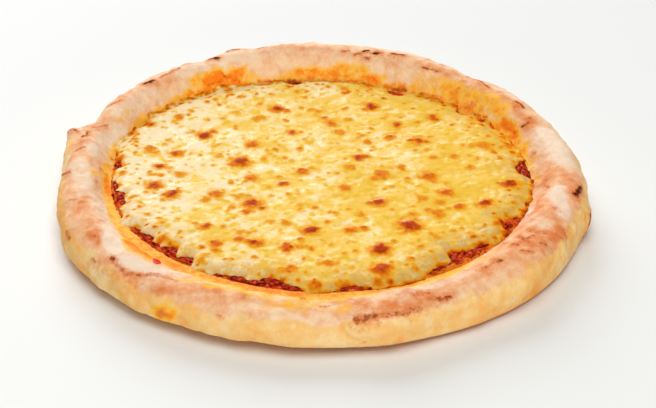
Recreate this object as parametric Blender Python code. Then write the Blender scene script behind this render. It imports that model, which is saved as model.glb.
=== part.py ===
"""A whole three cheese pizza: a risen dough crust, a layer of tomato sauce and a layer of melted cheese.

Metres, +Z up. The pizza lies with its flat underside on z = 0, and the origin is under the middle of its
bounding box. A bearing is an angle in degrees about the pizza's middle, seen from above: 0 is its right, 90
its back, 180 its left and 270 its front. Sizes in millimetres are written as 3.5 * MM.
"""

import math

import bmesh
import bpy
from mathutils import Vector, noise

MM = 0.001
GAP = 0.35 * MM  # between two pieces that lie on each other

# Crust: a flat floor of dough inside a risen rim. The radii are at twelve bearings, 30 degrees apart from 0.
RIM_OUTER_RADII = tuple(r * MM for r in (151, 148, 150, 151.5, 152, 148, 146, 150, 149.5, 149.5, 149.5, 151))
RIM_FOOT_RADII = tuple(r * MM for r in (117, 113.5, 112, 115, 117.5, 118.5, 115, 114.5, 113, 115, 115, 115.5))
CREST_HEIGHT = 28.0 * MM
CREST_RISE_TO_BACK = 5.5 * MM  # the rim is this much higher at the back, and lower at the front
CREST_SHARE = 0.53  # where the crest lies between the rim's foot, 0, and its widest line, 1
WIDEST_SHARE = 0.36  # the height of the widest line, as a share of the crest's
UNDERCUT = 7.0 * MM  # how far the rim curls in under its widest line
FLOOR_HEIGHT = 15.0 * MM
SHOULDER_POWER = 0.82  # 1 makes the rim's shoulder a quarter ellipse, and less makes it fuller
LOWER_BANDS = 3
SHOULDER_BANDS = 6
WALL_BANDS = 8
FLAT_WALL_RINGS = 2  # the wall's lowest rings, which the sauce lies on, have no lumps

# Folds and pinches in the rim: bearing, falloff before and after it in degrees, outwards and upwards.
RIM_FOLDS = (
    (162.0, 1.3, 8.0, 8.0 * MM, -4.5 * MM),  # the torn corner where the dough laps over itself
    (158.6, 3.0, 1.6, -2.0 * MM, -2.5 * MM),  # the notch beside that corner
    (119.5, 3.5, 2.6, -3.2 * MM, -2.2 * MM),  # a pinch between two puffs at the back
    (112.5, 3.0, 4.0, 0.5 * MM, 1.0 * MM),
    (347.0, 2.4, 2.6, 3.5 * MM, 0.0),  # a small lip low on the right
    (205.0, 5.0, 7.0, 1.5 * MM, 1.5 * MM),
    (286.0, 7.0, 5.0, 0.8 * MM, 1.4 * MM),
    (318.0, 6.0, 6.0, 0.5 * MM, 1.8 * MM),
    (48.0, 5.0, 6.0, -1.2 * MM, -2.2 * MM),
    (86.0, 9.0, 8.0, 0.0, 0.8 * MM),
)
# Lumps all over the rim: how far they stand out, how wide they are, and where in the noise they start.
RIM_LUMPS = ((1.5 * MM, 34.0 * MM, 3.0), (0.8 * MM, 13.0 * MM, 11.0))

# Sauce: spread over the floor and a little way up the foot of the rim's wall.
SAUCE_THICKNESS = 1.7 * MM
SAUCE_EDGE_THICKNESS = 0.6 * MM
SAUCE_LUMPS = (0.35 * MM, 5.0 * MM, 7.0)
SAUCE_BARE_LEAST = 1.0 * MM  # how far inside the rim's foot the sauce's flat top starts, at the least

# Cheese: melted into one sheet, which shrinks back from the rim and bares the sauce in places.
CHEESE_TOP_HEIGHT = 20.2 * MM
CHEESE_REACH = 2.0 * MM  # how far past the rim's foot the cheese comes at the most
CHEESE_SHOULDER = 6.5 * MM  # the width over which the sheet rounds down to its edge
CHEESE_EDGE_HEIGHT = 0.8 * MM
CHEESE_RAGGEDNESS = (1.3 * MM, 7.0 * MM, 5.0)
CHEESE_LUMPS = ((0.75 * MM, 21.0 * MM, 17.0), (0.55 * MM, 9.0 * MM, 23.0))
# Where the cheese bares the sauce: bearing, half of its spread in degrees, and how far the cheese draws back.
BARE_SAUCE = (
    (7.0, 5.0, 4.0 * MM),
    (43.0, 5.0, 2.2 * MM),
    (65.0, 4.0, 2.5 * MM),
    (97.0, 3.0, 2.2 * MM),
    (118.0, 9.0, 4.5 * MM),
    (193.0, 8.0, 6.5 * MM),
    (224.0, 12.0, 3.0 * MM),
    (257.0, 10.0, 7.5 * MM),
    (279.5, 5.0, 5.0 * MM),
    (307.0, 12.0, 5.5 * MM),
    (338.0, 5.0, 3.5 * MM),
)

# Detail of the meshes.
CORNERS = 160  # round every full ring
CHEESE_RING_SPACING = 6.2 * MM
CHEESE_HALVINGS = (0.7, 0.4, 0.2)  # shares of the radius inside which a ring has half as many corners
CHEESE_CENTRE_SHARE = 0.06

DOUGH_COLOUR = (0.80, 0.53, 0.31, 1.0)
SAUCE_COLOUR = (0.42, 0.045, 0.012, 1.0)
CHEESE_COLOUR = (0.93, 0.70, 0.28, 1.0)


def around(values, bearing):
    """A closed smooth curve through evenly spaced values, read at a bearing."""
    place = (bearing % 360.0) / 360.0 * len(values)
    first = int(place)
    t = place - first
    a, b, c, d = (values[(first + k) % len(values)] for k in (-1, 0, 1, 2))
    return b + 0.5 * t * (c - a + t * (2 * a - 5 * b + 4 * c - d + t * (3 * (b - c) + d - a)))


def swell(bearing, centre, before, after):
    """1 at a centre's bearing, falling off over before degrees on one side of it and after on the other."""
    away = (bearing - centre + 180.0) % 360.0 - 180.0
    return math.exp(-((away / (before if away < 0 else after)) ** 2))


def at(radius, bearing, height):
    """The point at a radius and height on a bearing."""
    angle = math.radians(bearing)
    return Vector((radius * math.cos(angle), radius * math.sin(angle), height))


def lumps(point, layer):
    """The height of one layer of soft lumps at a point."""
    depth, width, start = layer
    return depth * noise.noise(point / width + Vector((start, start, start)))


def smooth_step(value, low, high):
    """0 below low, 1 above high, and smooth between them."""
    t = min(1.0, max(0.0, (value - low) / (high - low)))
    return t * t * (3.0 - 2.0 * t)


def rim_sizes(bearing):
    """The rim at a bearing: its foot radius, crest radius, outer radius and crest height."""
    outer = around(RIM_OUTER_RADII, bearing)
    foot = around(RIM_FOOT_RADII, bearing)
    crest = foot + CREST_SHARE * (outer - foot)
    height = CREST_HEIGHT + CREST_RISE_TO_BACK * math.sin(math.radians(bearing))
    for centre, before, after, outwards, upwards in RIM_FOLDS:
        share = swell(bearing, centre, before, after)
        outer += outwards * share
        crest += 0.5 * outwards * share
        height += upwards * share
    return foot, crest, outer, height


def rim_section(bearing):
    """(radius, height) from the rim's resting edge, round its outside and over its crest to its foot."""
    foot, crest, outer, height = rim_sizes(bearing)
    widest = WIDEST_SHARE * height
    section = []
    for band in range(LOWER_BANDS):
        angle = math.pi / 2 * (band / LOWER_BANDS - 1)
        section.append((outer - UNDERCUT * (1 - math.cos(angle)), widest * (1 + math.sin(angle))))
    for band in range(SHOULDER_BANDS):
        angle = math.pi / 2 * band / SHOULDER_BANDS
        outwards = math.cos(angle) ** SHOULDER_POWER
        upwards = math.sin(angle) ** SHOULDER_POWER
        section.append((crest + (outer - crest) * outwards, widest + (height - widest) * upwards))
    for band in range(WALL_BANDS + 1):
        t = band / WALL_BANDS
        drop = 0.5 - 0.5 * math.cos(math.pi * t)
        section.append((crest + (foot - crest) * t, height + (FLOOR_HEIGHT - height) * drop))
    return section


def crust_column(bearing):
    """The points of the crust's surface on a bearing, with the lumps of the risen dough."""
    section = rim_section(bearing)
    foot, _, outer, height = rim_sizes(bearing)
    core = at(0.5 * (foot + outer), bearing, 0.4 * height)
    last_lumpy = len(section) - 1 - FLAT_WALL_RINGS
    column = []
    for ring, (radius, ring_height) in enumerate(section):
        point = at(radius, bearing, ring_height)
        if 0 < ring < last_lumpy:
            eased = min(1.0, ring / 3, (last_lumpy - ring) / 3)
            depth = eased * sum(lumps(point, layer) for layer in RIM_LUMPS)
            point += (point - core).normalized() * depth
        column.append(point)
    return column


def cheese_edge(bearing):
    """The radius of the cheese's ragged edge."""
    foot = around(RIM_FOOT_RADII, bearing)
    drawn_back = sum(depth * swell(bearing, centre, half, half) for centre, half, depth in BARE_SAUCE)
    ragged = lumps(at(foot, bearing, 0.0), CHEESE_RAGGEDNESS)
    return foot + CHEESE_REACH - drawn_back + min(0.0, ragged - 0.5 * CHEESE_RAGGEDNESS[0])


def sauce_column(bearing):
    """The points of the sauce's surface on a bearing, from its underside round its edge to its top."""
    wall = rim_section(bearing)[-1 - FLAT_WALL_RINGS :]
    level = FLOOR_HEIGHT + GAP + SAUCE_THICKNESS
    column = [at(radius, bearing, height + GAP) for radius, height in reversed(wall)]
    foot = wall[-1][0]
    shore = min(cheese_edge(bearing), foot - SAUCE_BARE_LEAST)
    for radius, height in wall + [(0.5 * (foot + shore), 0.0), (shore, 0.0)]:
        point = at(radius, bearing, max(level, height + GAP + SAUCE_EDGE_THICKNESS))
        bare = smooth_step(radius, cheese_edge(bearing), cheese_edge(bearing) + 3.0 * MM)
        column.append(point + Vector((0.0, 0.0, bare * lumps(point, SAUCE_LUMPS))))
    return column


def cheese_underside():
    return FLOOR_HEIGHT + SAUCE_THICKNESS + 2 * GAP


def cheese_surface(bearing, radius):
    """The point of the cheese's top at a radius: lumpy, and rounding down to its edge."""
    thickness = CHEESE_TOP_HEIGHT - cheese_underside()
    flat_point = at(radius, bearing, 0.0)
    thickness += sum(lumps(flat_point, layer) for layer in CHEESE_LUMPS)
    inside = min(1.0, (cheese_edge(bearing) - radius) / CHEESE_SHOULDER)
    rounding = math.sqrt(max(0.0, 1.0 - (1.0 - inside) ** 2))
    edge = CHEESE_EDGE_HEIGHT / thickness
    return at(radius, bearing, cheese_underside() + thickness * (edge + (1.0 - edge) * rounding))


def ring_bearings(corners):
    return [360.0 * k / corners for k in range(corners)]


def bridge(mesh, ring, inner):
    """Faces between two rings, of which the second has as many corners as the first or half as many."""
    count = len(ring)
    step = count // len(inner)
    for k in range(count):
        here, after = ring[k], ring[(k + 1) % count]
        first = inner[k // step]
        second = inner[((k + 1) // step) % len(inner)]
        mesh.faces.new((here, after, first) if first is second else (here, after, second, first))


def add_piece(name, mesh, colour, roughness, parent):
    """A named object with its own material, from a finished bmesh."""
    bmesh.ops.recalc_face_normals(mesh, faces=mesh.faces)
    data = bpy.data.meshes.new(name)
    mesh.to_mesh(data)
    mesh.free()
    data.shade_smooth()
    material = bpy.data.materials.new(name)
    material.use_nodes = True
    shader = material.node_tree.nodes["Principled BSDF"]
    shader.inputs["Base Color"].default_value = colour
    shader.inputs["Roughness"].default_value = roughness
    data.materials.append(material)
    piece = bpy.data.objects.new(name, data)
    piece.parent = parent
    bpy.context.scene.collection.objects.link(piece)
    return piece


def closed_from_columns(columns):
    """A closed bmesh from one column of points at each bearing, with a flat face at each end."""
    mesh = bmesh.new()
    rings = [[mesh.verts.new(point) for point in ring] for ring in zip(*columns)]
    for ring, following in zip(rings, rings[1:]):
        bridge(mesh, ring, following)
    mesh.faces.new(rings[0])
    mesh.faces.new(rings[-1])
    return mesh


def cheese_rings():
    """(share of the edge's radius, corners) of each ring of the cheese's top, from its edge inwards."""
    step = CHEESE_RING_SPACING / max(RIM_FOOT_RADII)
    share = 1.0
    while share > CHEESE_CENTRE_SHARE:
        halved = sum(share < limit for limit in CHEESE_HALVINGS)
        yield share, CORNERS >> halved
        near_edge = share > 1.0 - 0.9 * step
        share -= 0.3 * step if near_edge else step


def build_cheese(parent):
    mesh = bmesh.new()
    bearings = ring_bearings(CORNERS)
    underside = [at(cheese_edge(b) - CHEESE_EDGE_HEIGHT, b, cheese_underside()) for b in bearings]
    rings = [[mesh.verts.new(point) for point in underside]]
    for share, corners in cheese_rings():
        points = [cheese_surface(b, share * cheese_edge(b)) for b in ring_bearings(corners)]
        rings.append([mesh.verts.new(point) for point in points])
    for ring, following in zip(rings, rings[1:]):
        bridge(mesh, ring, following)
    mesh.faces.new(rings[0])
    middle = mesh.verts.new(cheese_surface(0.0, 0.0))
    for here, after in zip(rings[-1], rings[-1][1:] + rings[-1][:1]):
        mesh.faces.new((here, after, middle))
    return add_piece("cheese", mesh, CHEESE_COLOUR, 0.42, parent)


def clear_scene():
    for obj in list(bpy.data.objects):
        bpy.data.objects.remove(obj)


def centre_over_origin(pizza, crust):
    """Moves the whole pizza so that the origin is under the middle of its bounding box."""
    corners = [Vector(corner) for corner in crust.bound_box]
    low = Vector(map(min, *corners))
    high = Vector(map(max, *corners))
    pizza.location = (-(low.x + high.x) / 2, -(low.y + high.y) / 2, 0.0)


def main():
    clear_scene()
    pizza = bpy.data.objects.new("pizza", None)
    bpy.context.scene.collection.objects.link(pizza)
    bearings = ring_bearings(CORNERS)
    crust_mesh = closed_from_columns([crust_column(b) for b in bearings])
    crust = add_piece("crust", crust_mesh, DOUGH_COLOUR, 0.75, pizza)
    sauce_mesh = closed_from_columns([sauce_column(b) for b in bearings])
    add_piece("sauce", sauce_mesh, SAUCE_COLOUR, 0.3, pizza)
    build_cheese(pizza)
    centre_over_origin(pizza, crust)


if __name__ == "__main__":
    main()
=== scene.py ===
"""Dresses a three cheese pizza: baked crust, tomato sauce, browned cheese and the small things on them.

Metres, +Z up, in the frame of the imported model. A bearing is an angle about the pizza's middle, seen
from above, anticlockwise from +X. Marks that were read off the photograph are pixels in its 656 by 408
frame, each brought onto the surface that it lies on through the photograph's own camera. Every random
draw is seeded.
"""

import math

import bmesh
import bpy
import numpy as np
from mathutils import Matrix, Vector, noise
from mathutils.bvhtree import BVHTree


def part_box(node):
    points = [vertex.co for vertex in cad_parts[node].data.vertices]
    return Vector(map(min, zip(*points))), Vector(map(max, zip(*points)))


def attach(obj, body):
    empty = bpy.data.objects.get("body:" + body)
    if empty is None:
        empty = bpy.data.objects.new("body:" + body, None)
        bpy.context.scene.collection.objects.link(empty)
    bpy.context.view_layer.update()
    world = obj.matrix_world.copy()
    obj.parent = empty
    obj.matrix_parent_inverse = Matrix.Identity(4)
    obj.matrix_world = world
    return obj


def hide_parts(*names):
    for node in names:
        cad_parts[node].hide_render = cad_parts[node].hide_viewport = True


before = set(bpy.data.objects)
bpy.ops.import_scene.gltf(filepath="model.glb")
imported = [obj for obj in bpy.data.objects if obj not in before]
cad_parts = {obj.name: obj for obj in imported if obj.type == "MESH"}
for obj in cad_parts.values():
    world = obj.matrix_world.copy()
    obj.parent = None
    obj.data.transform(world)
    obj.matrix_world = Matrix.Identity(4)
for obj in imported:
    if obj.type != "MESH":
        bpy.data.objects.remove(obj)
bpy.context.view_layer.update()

bl_info = {
    "name": "Three cheese pizza",
    "version": (1, 0, 0),
    "blender": (4, 5, 0),
    "location": "3D View > Sidebar > Pizza",
    "description": "Dresses a plain pizza with its baked crust, tomato sauce and browned cheese",
    "category": "Add Mesh",
}

MM = 0.001
UP = Vector((0.0, 0.0, 1.0))
BODY = "root"

# The photograph's camera: where the pizza's middle falls in it, and how it stands to the pizza.
PHOTO_WIDTH, PHOTO_HEIGHT = 656, 408
MIDDLE_PIXEL = (318.1, 201.5)
FOCAL_PIXELS = 1571.0
CAMERA_DISTANCE = 900 * MM
CAMERA_ELEVATION = math.radians(31.0)
SENSOR_MM = 36.0
# The middle of the rim's rings, which is a little off the middle of the pizza's box.
MIDDLE = Vector((-1.9 * MM, -1.0 * MM, 0.0))

# The soft lights: places and sides in metres, and tints. Their powers are settings with the same names.
SOFTBOXES = (
    ("back_light", (-1.5, 6.2, 2.9), (5.0, 5.0), (0.955, 0.978, 1.0)),
    ("overhead", (0.1, -0.8, 2.9), (2.4, 3.0), (1.0, 0.995, 0.97)),
    ("fill", (0.5, -2.6, 0.45), (4.8, 0.6), (1.0, 0.98, 0.8)),
)
SKY_TINT = (0.95, 0.99, 0.72, 1.0)

# The core of the rim, from which every line outwards crosses the crust's surface once.
RIM_CORE_RADIUS = 133 * MM
RIM_CORE_HEIGHT = 12 * MM
RIM_SECTION_START = math.radians(-72)
RIM_SECTION_END = math.radians(172)

# How finely the rim's section is measured, at how many bearings, and how finely a mark follows the skin.
SECTION_STEPS = 300
SECTION_BEARINGS = 16
PIXELS_A_STEP = 5

# Heights above the table on the rim's inner side, which is plain up to the first and has its full relief
# past the second. Then the line where the sauce meets it, and the top of the cheese.
PLAIN_UP_TO, UNEVEN_PAST = 15.6 * MM, 19 * MM
SAUCE_LINE = 17.2 * MM
CHEESE_TOP = 20.3 * MM
# Heights above the sauce's underside: where its rim is measured, and its top.
SAUCE_RIM_HEIGHT = 1.55 * MM
SAUCE_TOP_HEIGHT = 2.1 * MM
CHEESE_RADIUS = 118 * MM
# Places outside the sauce and above the pizza, from which its surfaces are looked at.
OUTSIDE_SAUCE = 140 * MM
ABOVE_PIZZA = 100 * MM
# Shares of a disc's width that its inner rings have.
DISC_RINGS = (0.9, 0.7, 0.48, 0.26)
# The fewest corners of a ring of the cheese, and their least gap as a share of the rings' spacing.
FEWEST_CORNERS = 30
LEAST_GAP = 0.62
BUBBLE_SEED = 41
CHEESE_SEED = 7

# Marks on the crust: from x, y to x, y in the photograph, half of the width in mm, and the strength, up
# to about 1. These are its scorched places.
SCORCHES = (
    (209.5, 59.5, 218.5, 59.0, 1.8, 1.0), (226, 49.5, 238, 48.2, 1.4, 0.72),
    (257.5, 48.4, 263, 47.6, 1.2, 0.66), (145, 84, 153, 80.5, 2.2, 1.0), (160, 77, 179, 69, 1.9, 0.52),
    (83, 136.5, 87.5, 132.5, 1.6, 0.95), (71, 132, 79, 132, 1.5, 0.6), (92, 127.5, 107, 125, 1.2, 0.5),
    (108, 107, 121, 100.5, 1.4, 0.55), (76, 150, 84, 147, 1.6, 0.6), (62, 175, 69.5, 172.5, 1.2, 0.7),
    (71, 200, 76, 200, 1.4, 0.5), (82, 203, 84, 203, 1.4, 0.5), (67, 232, 70, 238, 1.5, 0.55),
    (90, 262, 140, 288, 6.0, 0.22), (69.5, 130, 80, 130, 1.2, 0.5), (93, 236, 97, 236, 2.2, 0.5),
    (94, 259, 95, 262, 1.6, 0.66), (111.5, 257.5, 114, 260, 1.7, 0.8), (114, 262, 124, 272, 2.0, 0.5),
    (124, 273.5, 157, 275, 1.7, 0.5), (157, 276, 178, 281, 1.4, 0.38), (218, 315, 220, 316, 1.1, 0.66),
    (161, 313, 163, 314, 2.0, 0.5), (575, 195.5, 580.5, 187.5, 2.4, 0.9),
    (590, 216, 588, 230, 3.4, 0.76), (519, 237, 531, 243, 2.6, 0.58), (527, 238, 534, 235, 2.0, 0.52),
    (512, 244.5, 518, 245, 2.0, 0.66), (541, 243.5, 545, 245, 1.7, 0.66),
    (522, 250, 533, 252.5, 1.8, 0.56), (530, 231, 549, 231, 2.2, 0.42), (552, 234, 564, 236, 5.0, 0.42),
    (497.5, 262, 501, 261, 2.2, 0.66), (483, 268, 495, 263, 1.6, 0.42),
    (440, 299, 448, 297.5, 2.4, 0.72), (427, 299, 438, 297, 2.6, 0.5), (357, 320, 374, 317, 3.4, 0.62),
    (376, 316.5, 420, 309.5, 2.6, 0.5), (386, 315, 408, 311.5, 2.6, 0.56),
    (412, 296, 427, 293, 2.4, 0.5), (363.5, 51, 368, 50.4, 1.4, 0.96), (374, 52.6, 379, 52.6, 1.6, 1.0),
    (355, 54, 359, 53, 1.3, 0.7), (342, 50.5, 348, 50.5, 1.3, 0.55), (365, 58, 369, 58, 1.8, 0.6),
    (392, 54, 404, 56, 1.5, 0.86), (423, 67.6, 428, 69, 1.5, 0.7), (432, 70, 440, 72, 1.2, 0.55),
    (470, 75.5, 489, 87.5, 1.2, 0.7), (516, 101.5, 524, 108, 1.5, 0.78),
    (528, 118, 531, 119, 1.6, 0.66), (522, 126.5, 528, 122.5, 1.3, 0.7), (545, 186, 548, 187, 1.3, 0.5),
    (361, 343, 365, 343, 1.0, 0.45), (320, 306, 330, 306, 1.0, 0.45),
)
# Where its skin is pink, and where flour still lies on it.
BLUSHES = (
    (262, 49, 345, 52, 5.0, 0.6), (350, 52, 440, 66, 5.0, 0.45), (120, 100, 190, 68, 5.0, 0.25),
    (440, 70, 505, 98, 4.5, 0.7), (545, 172, 575, 182, 7.0, 0.2), (548, 235, 566, 236, 4.0, 0.5),
    (440, 290, 480, 268, 6.0, 0.4), (380, 309, 440, 292, 5.0, 0.7), (185, 286, 305, 309, 3.0, 0.6),
    (305, 309, 345, 311, 2.4, 0.5), (340, 304, 380, 306, 4.0, 0.5), (80, 195, 90, 240, 6.0, 0.3),
    (66, 165, 60, 215, 5.0, 0.35), (95, 130, 72, 150, 6.0, 0.3), (480, 272, 545, 238, 6.0, 0.15),
    (515, 104, 532, 130, 3.0, 0.7), (96, 234, 98, 240, 3.6, 0.8), (150, 292, 172, 290, 3.6, 0.6),
    (120, 262, 160, 282, 4.0, 0.4), (106, 264, 132, 280, 4.0, 0.4), (178, 289, 226, 299, 3.2, 0.5),
)
FLOURY = (
    (110, 236, 118, 250, 5.0, 0.9), (124, 260, 158, 272, 4.4, 1.0), (168, 270, 192, 276, 3.0, 0.7),
    (78, 165, 88, 190, 6.0, 0.6), (95, 148, 120, 130, 6.0, 0.7), (120, 112, 150, 95, 5.0, 0.65),
    (545, 132, 566, 160, 8.0, 0.85), (556, 190, 566, 214, 5.0, 0.85), (180, 72, 203, 66, 4.6, 0.6),
    (225, 63, 250, 59, 4.0, 0.5), (100, 205, 112, 235, 5.0, 0.6), (518, 214, 545, 224, 5.0, 0.4),
    (506, 232, 526, 212, 4.0, 0.75), (470, 262, 510, 240, 3.0, 0.5), (262, 52, 345, 56, 4.0, 0.4),
    (400, 66, 470, 82, 3.0, 0.25), (400, 299, 470, 272, 2.6, 0.45),
)
# The share of the settings Tuck and Gap that the rim has, every 30 degrees from +X. Below 0 it bulges.
RIM_LIFTED = (-0.3, 0.0, 0.3, 0.3, 0.3, 0.3, 0.5, 0.9, 0.9, 0.5, -0.1, -0.4)
# Dough stained by sauce and oil: strength, and height above the sauce in mm, every 15 degrees from +X.
STAIN_STRENGTH = (
    0.3, 0.66, 0.7, 0.7, 0.6, 0.66, 0.8, 0.55, 1.0, 0.56, 0.55, 0.56,
    0.56, 0.64, 0.64, 0.78, 0.74, 0.84, 0.8, 0.74, 0.66, 0.36, 0.16, 0.2,
)
STAIN_HEIGHT = (
    4.0, 6.5, 10.0, 11.0, 8.0, 6.5, 9.0, 5.0, 10.5, 4.6, 4.4, 4.6,
    3.6, 3.0, 4.0, 7.0, 4.8, 5.4, 5.4, 5.2, 3.4, 2.6, 3.0, 3.4,
)
# How pink its top is and how tanned its outer wall is, every 30 degrees from +X.
PINK_TOP = (0.45, 0.25, 0.0, 0.0, 0.1, 0.25, 0.35, 0.25, 0.3, 0.1, 0.25, 0.75)
TANNED = (0.0, 0.0, 0.0, 0.0, 0.0, 0.0, 0.0, 0.4, 0.35, 0.1, 0.25, 0.4)
# Places with more of it, written as the marks above.
STAINS = (
    (208, 80, 240, 73, 3.6, 0.95), (300, 74, 335, 74, 3.4, 0.85), (120, 118, 132, 108, 3.0, 0.5),
    (342, 70, 362, 70, 4.0, 0.62), (488, 98, 501, 112, 5.0, 0.62), (446, 88, 474, 100, 5.2, 0.66),
    (196, 82, 222, 74, 4.4, 0.6), (364, 78, 378, 82, 3.0, 0.8), (418, 77, 452, 84, 4.5, 0.36),
    (505, 124, 515, 134, 4.0, 0.9), (93, 172, 95, 172, 2.4, 0.7), (107, 176, 109, 196, 3.0, 0.95),
    (130, 244, 150, 258, 5.0, 0.95), (480, 262, 500, 250, 2.0, 0.36), (157, 312, 167, 314, 3.4, 1.2),
    (180, 279, 250, 293, 2.6, 0.42), (250, 294, 345, 300, 3.0, 0.42), (262, 304, 345, 308, 3.4, 0.42),
)
# Small drops of sauce on the crust, and sauce that has cooked onto the dough above the cheese.
DROPS = ((156.6, 261.2, 157.2, 263.8, 2.1, 1.0), (112.5, 258.2, 113, 259, 0.8, 0.6))
SMEARS = (
    (290, 82, 299, 84, 2.2, 0.95), (258, 81.5, 288, 82, 1.4, 0.6), (224, 75, 238, 80, 2.2, 0.6),
    (206, 91, 232, 88, 1.6, 0.55), (172, 104, 196, 99, 1.6, 0.6), (300, 81, 362, 81, 1.0, 0.5),
    (394, 89, 404, 90, 2.0, 0.8), (386, 86.5, 402, 87.5, 3.0, 0.5), (210, 85, 222, 80, 1.6, 0.6),
    (364, 77, 376, 81, 1.6, 0.45), (420, 94, 440, 99, 2.0, 0.6), (457, 104, 470, 110, 2.8, 0.5),
    (470, 114, 487, 118, 1.6, 0.6), (503, 125, 515, 134, 2.0, 0.5), (112, 160, 120, 166, 1.6, 0.5),
)
# Cracks and folds: as the marks, with the depth in mm in the last place.
CREASES = (
    (336, 319, 341, 329, 0.8, 1.1), (341, 329, 349, 338, 0.8, 1.2), (349, 338, 359, 340, 0.7, 0.9),
    (81, 128.5, 86, 134, 1.2, 1.5), (86, 134, 92, 139, 1.1, 0.9), (110, 256, 116, 265, 1.0, 0.7),
    (116, 265, 124, 274, 1.0, 0.6), (124, 274, 157, 276, 0.9, 0.4), (218, 62, 232, 70, 1.2, 0.7),
    (518, 118, 530, 124, 1.0, 0.7), (530, 231, 549, 232, 1.0, 0.6), (250, 302, 304, 311, 1.0, 0.45),
    (304, 311, 330, 313, 0.9, 0.3), (60, 176, 71, 172, 0.8, 0.5), (586, 215, 584, 230, 1.0, 0.7),
    (96, 126, 108, 125, 0.9, 0.5),
)

# A corner of dough that was folded over and stands out at the left, and how far it stands out.
CORNER = ((71, 133, 72, 132.5, 2.8, 1.0), (72, 137, 69, 150, 3.6, 0.5))
CORNER_PULL = Vector((-2.4 * MM, 0.4 * MM, 1.5 * MM))

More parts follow.
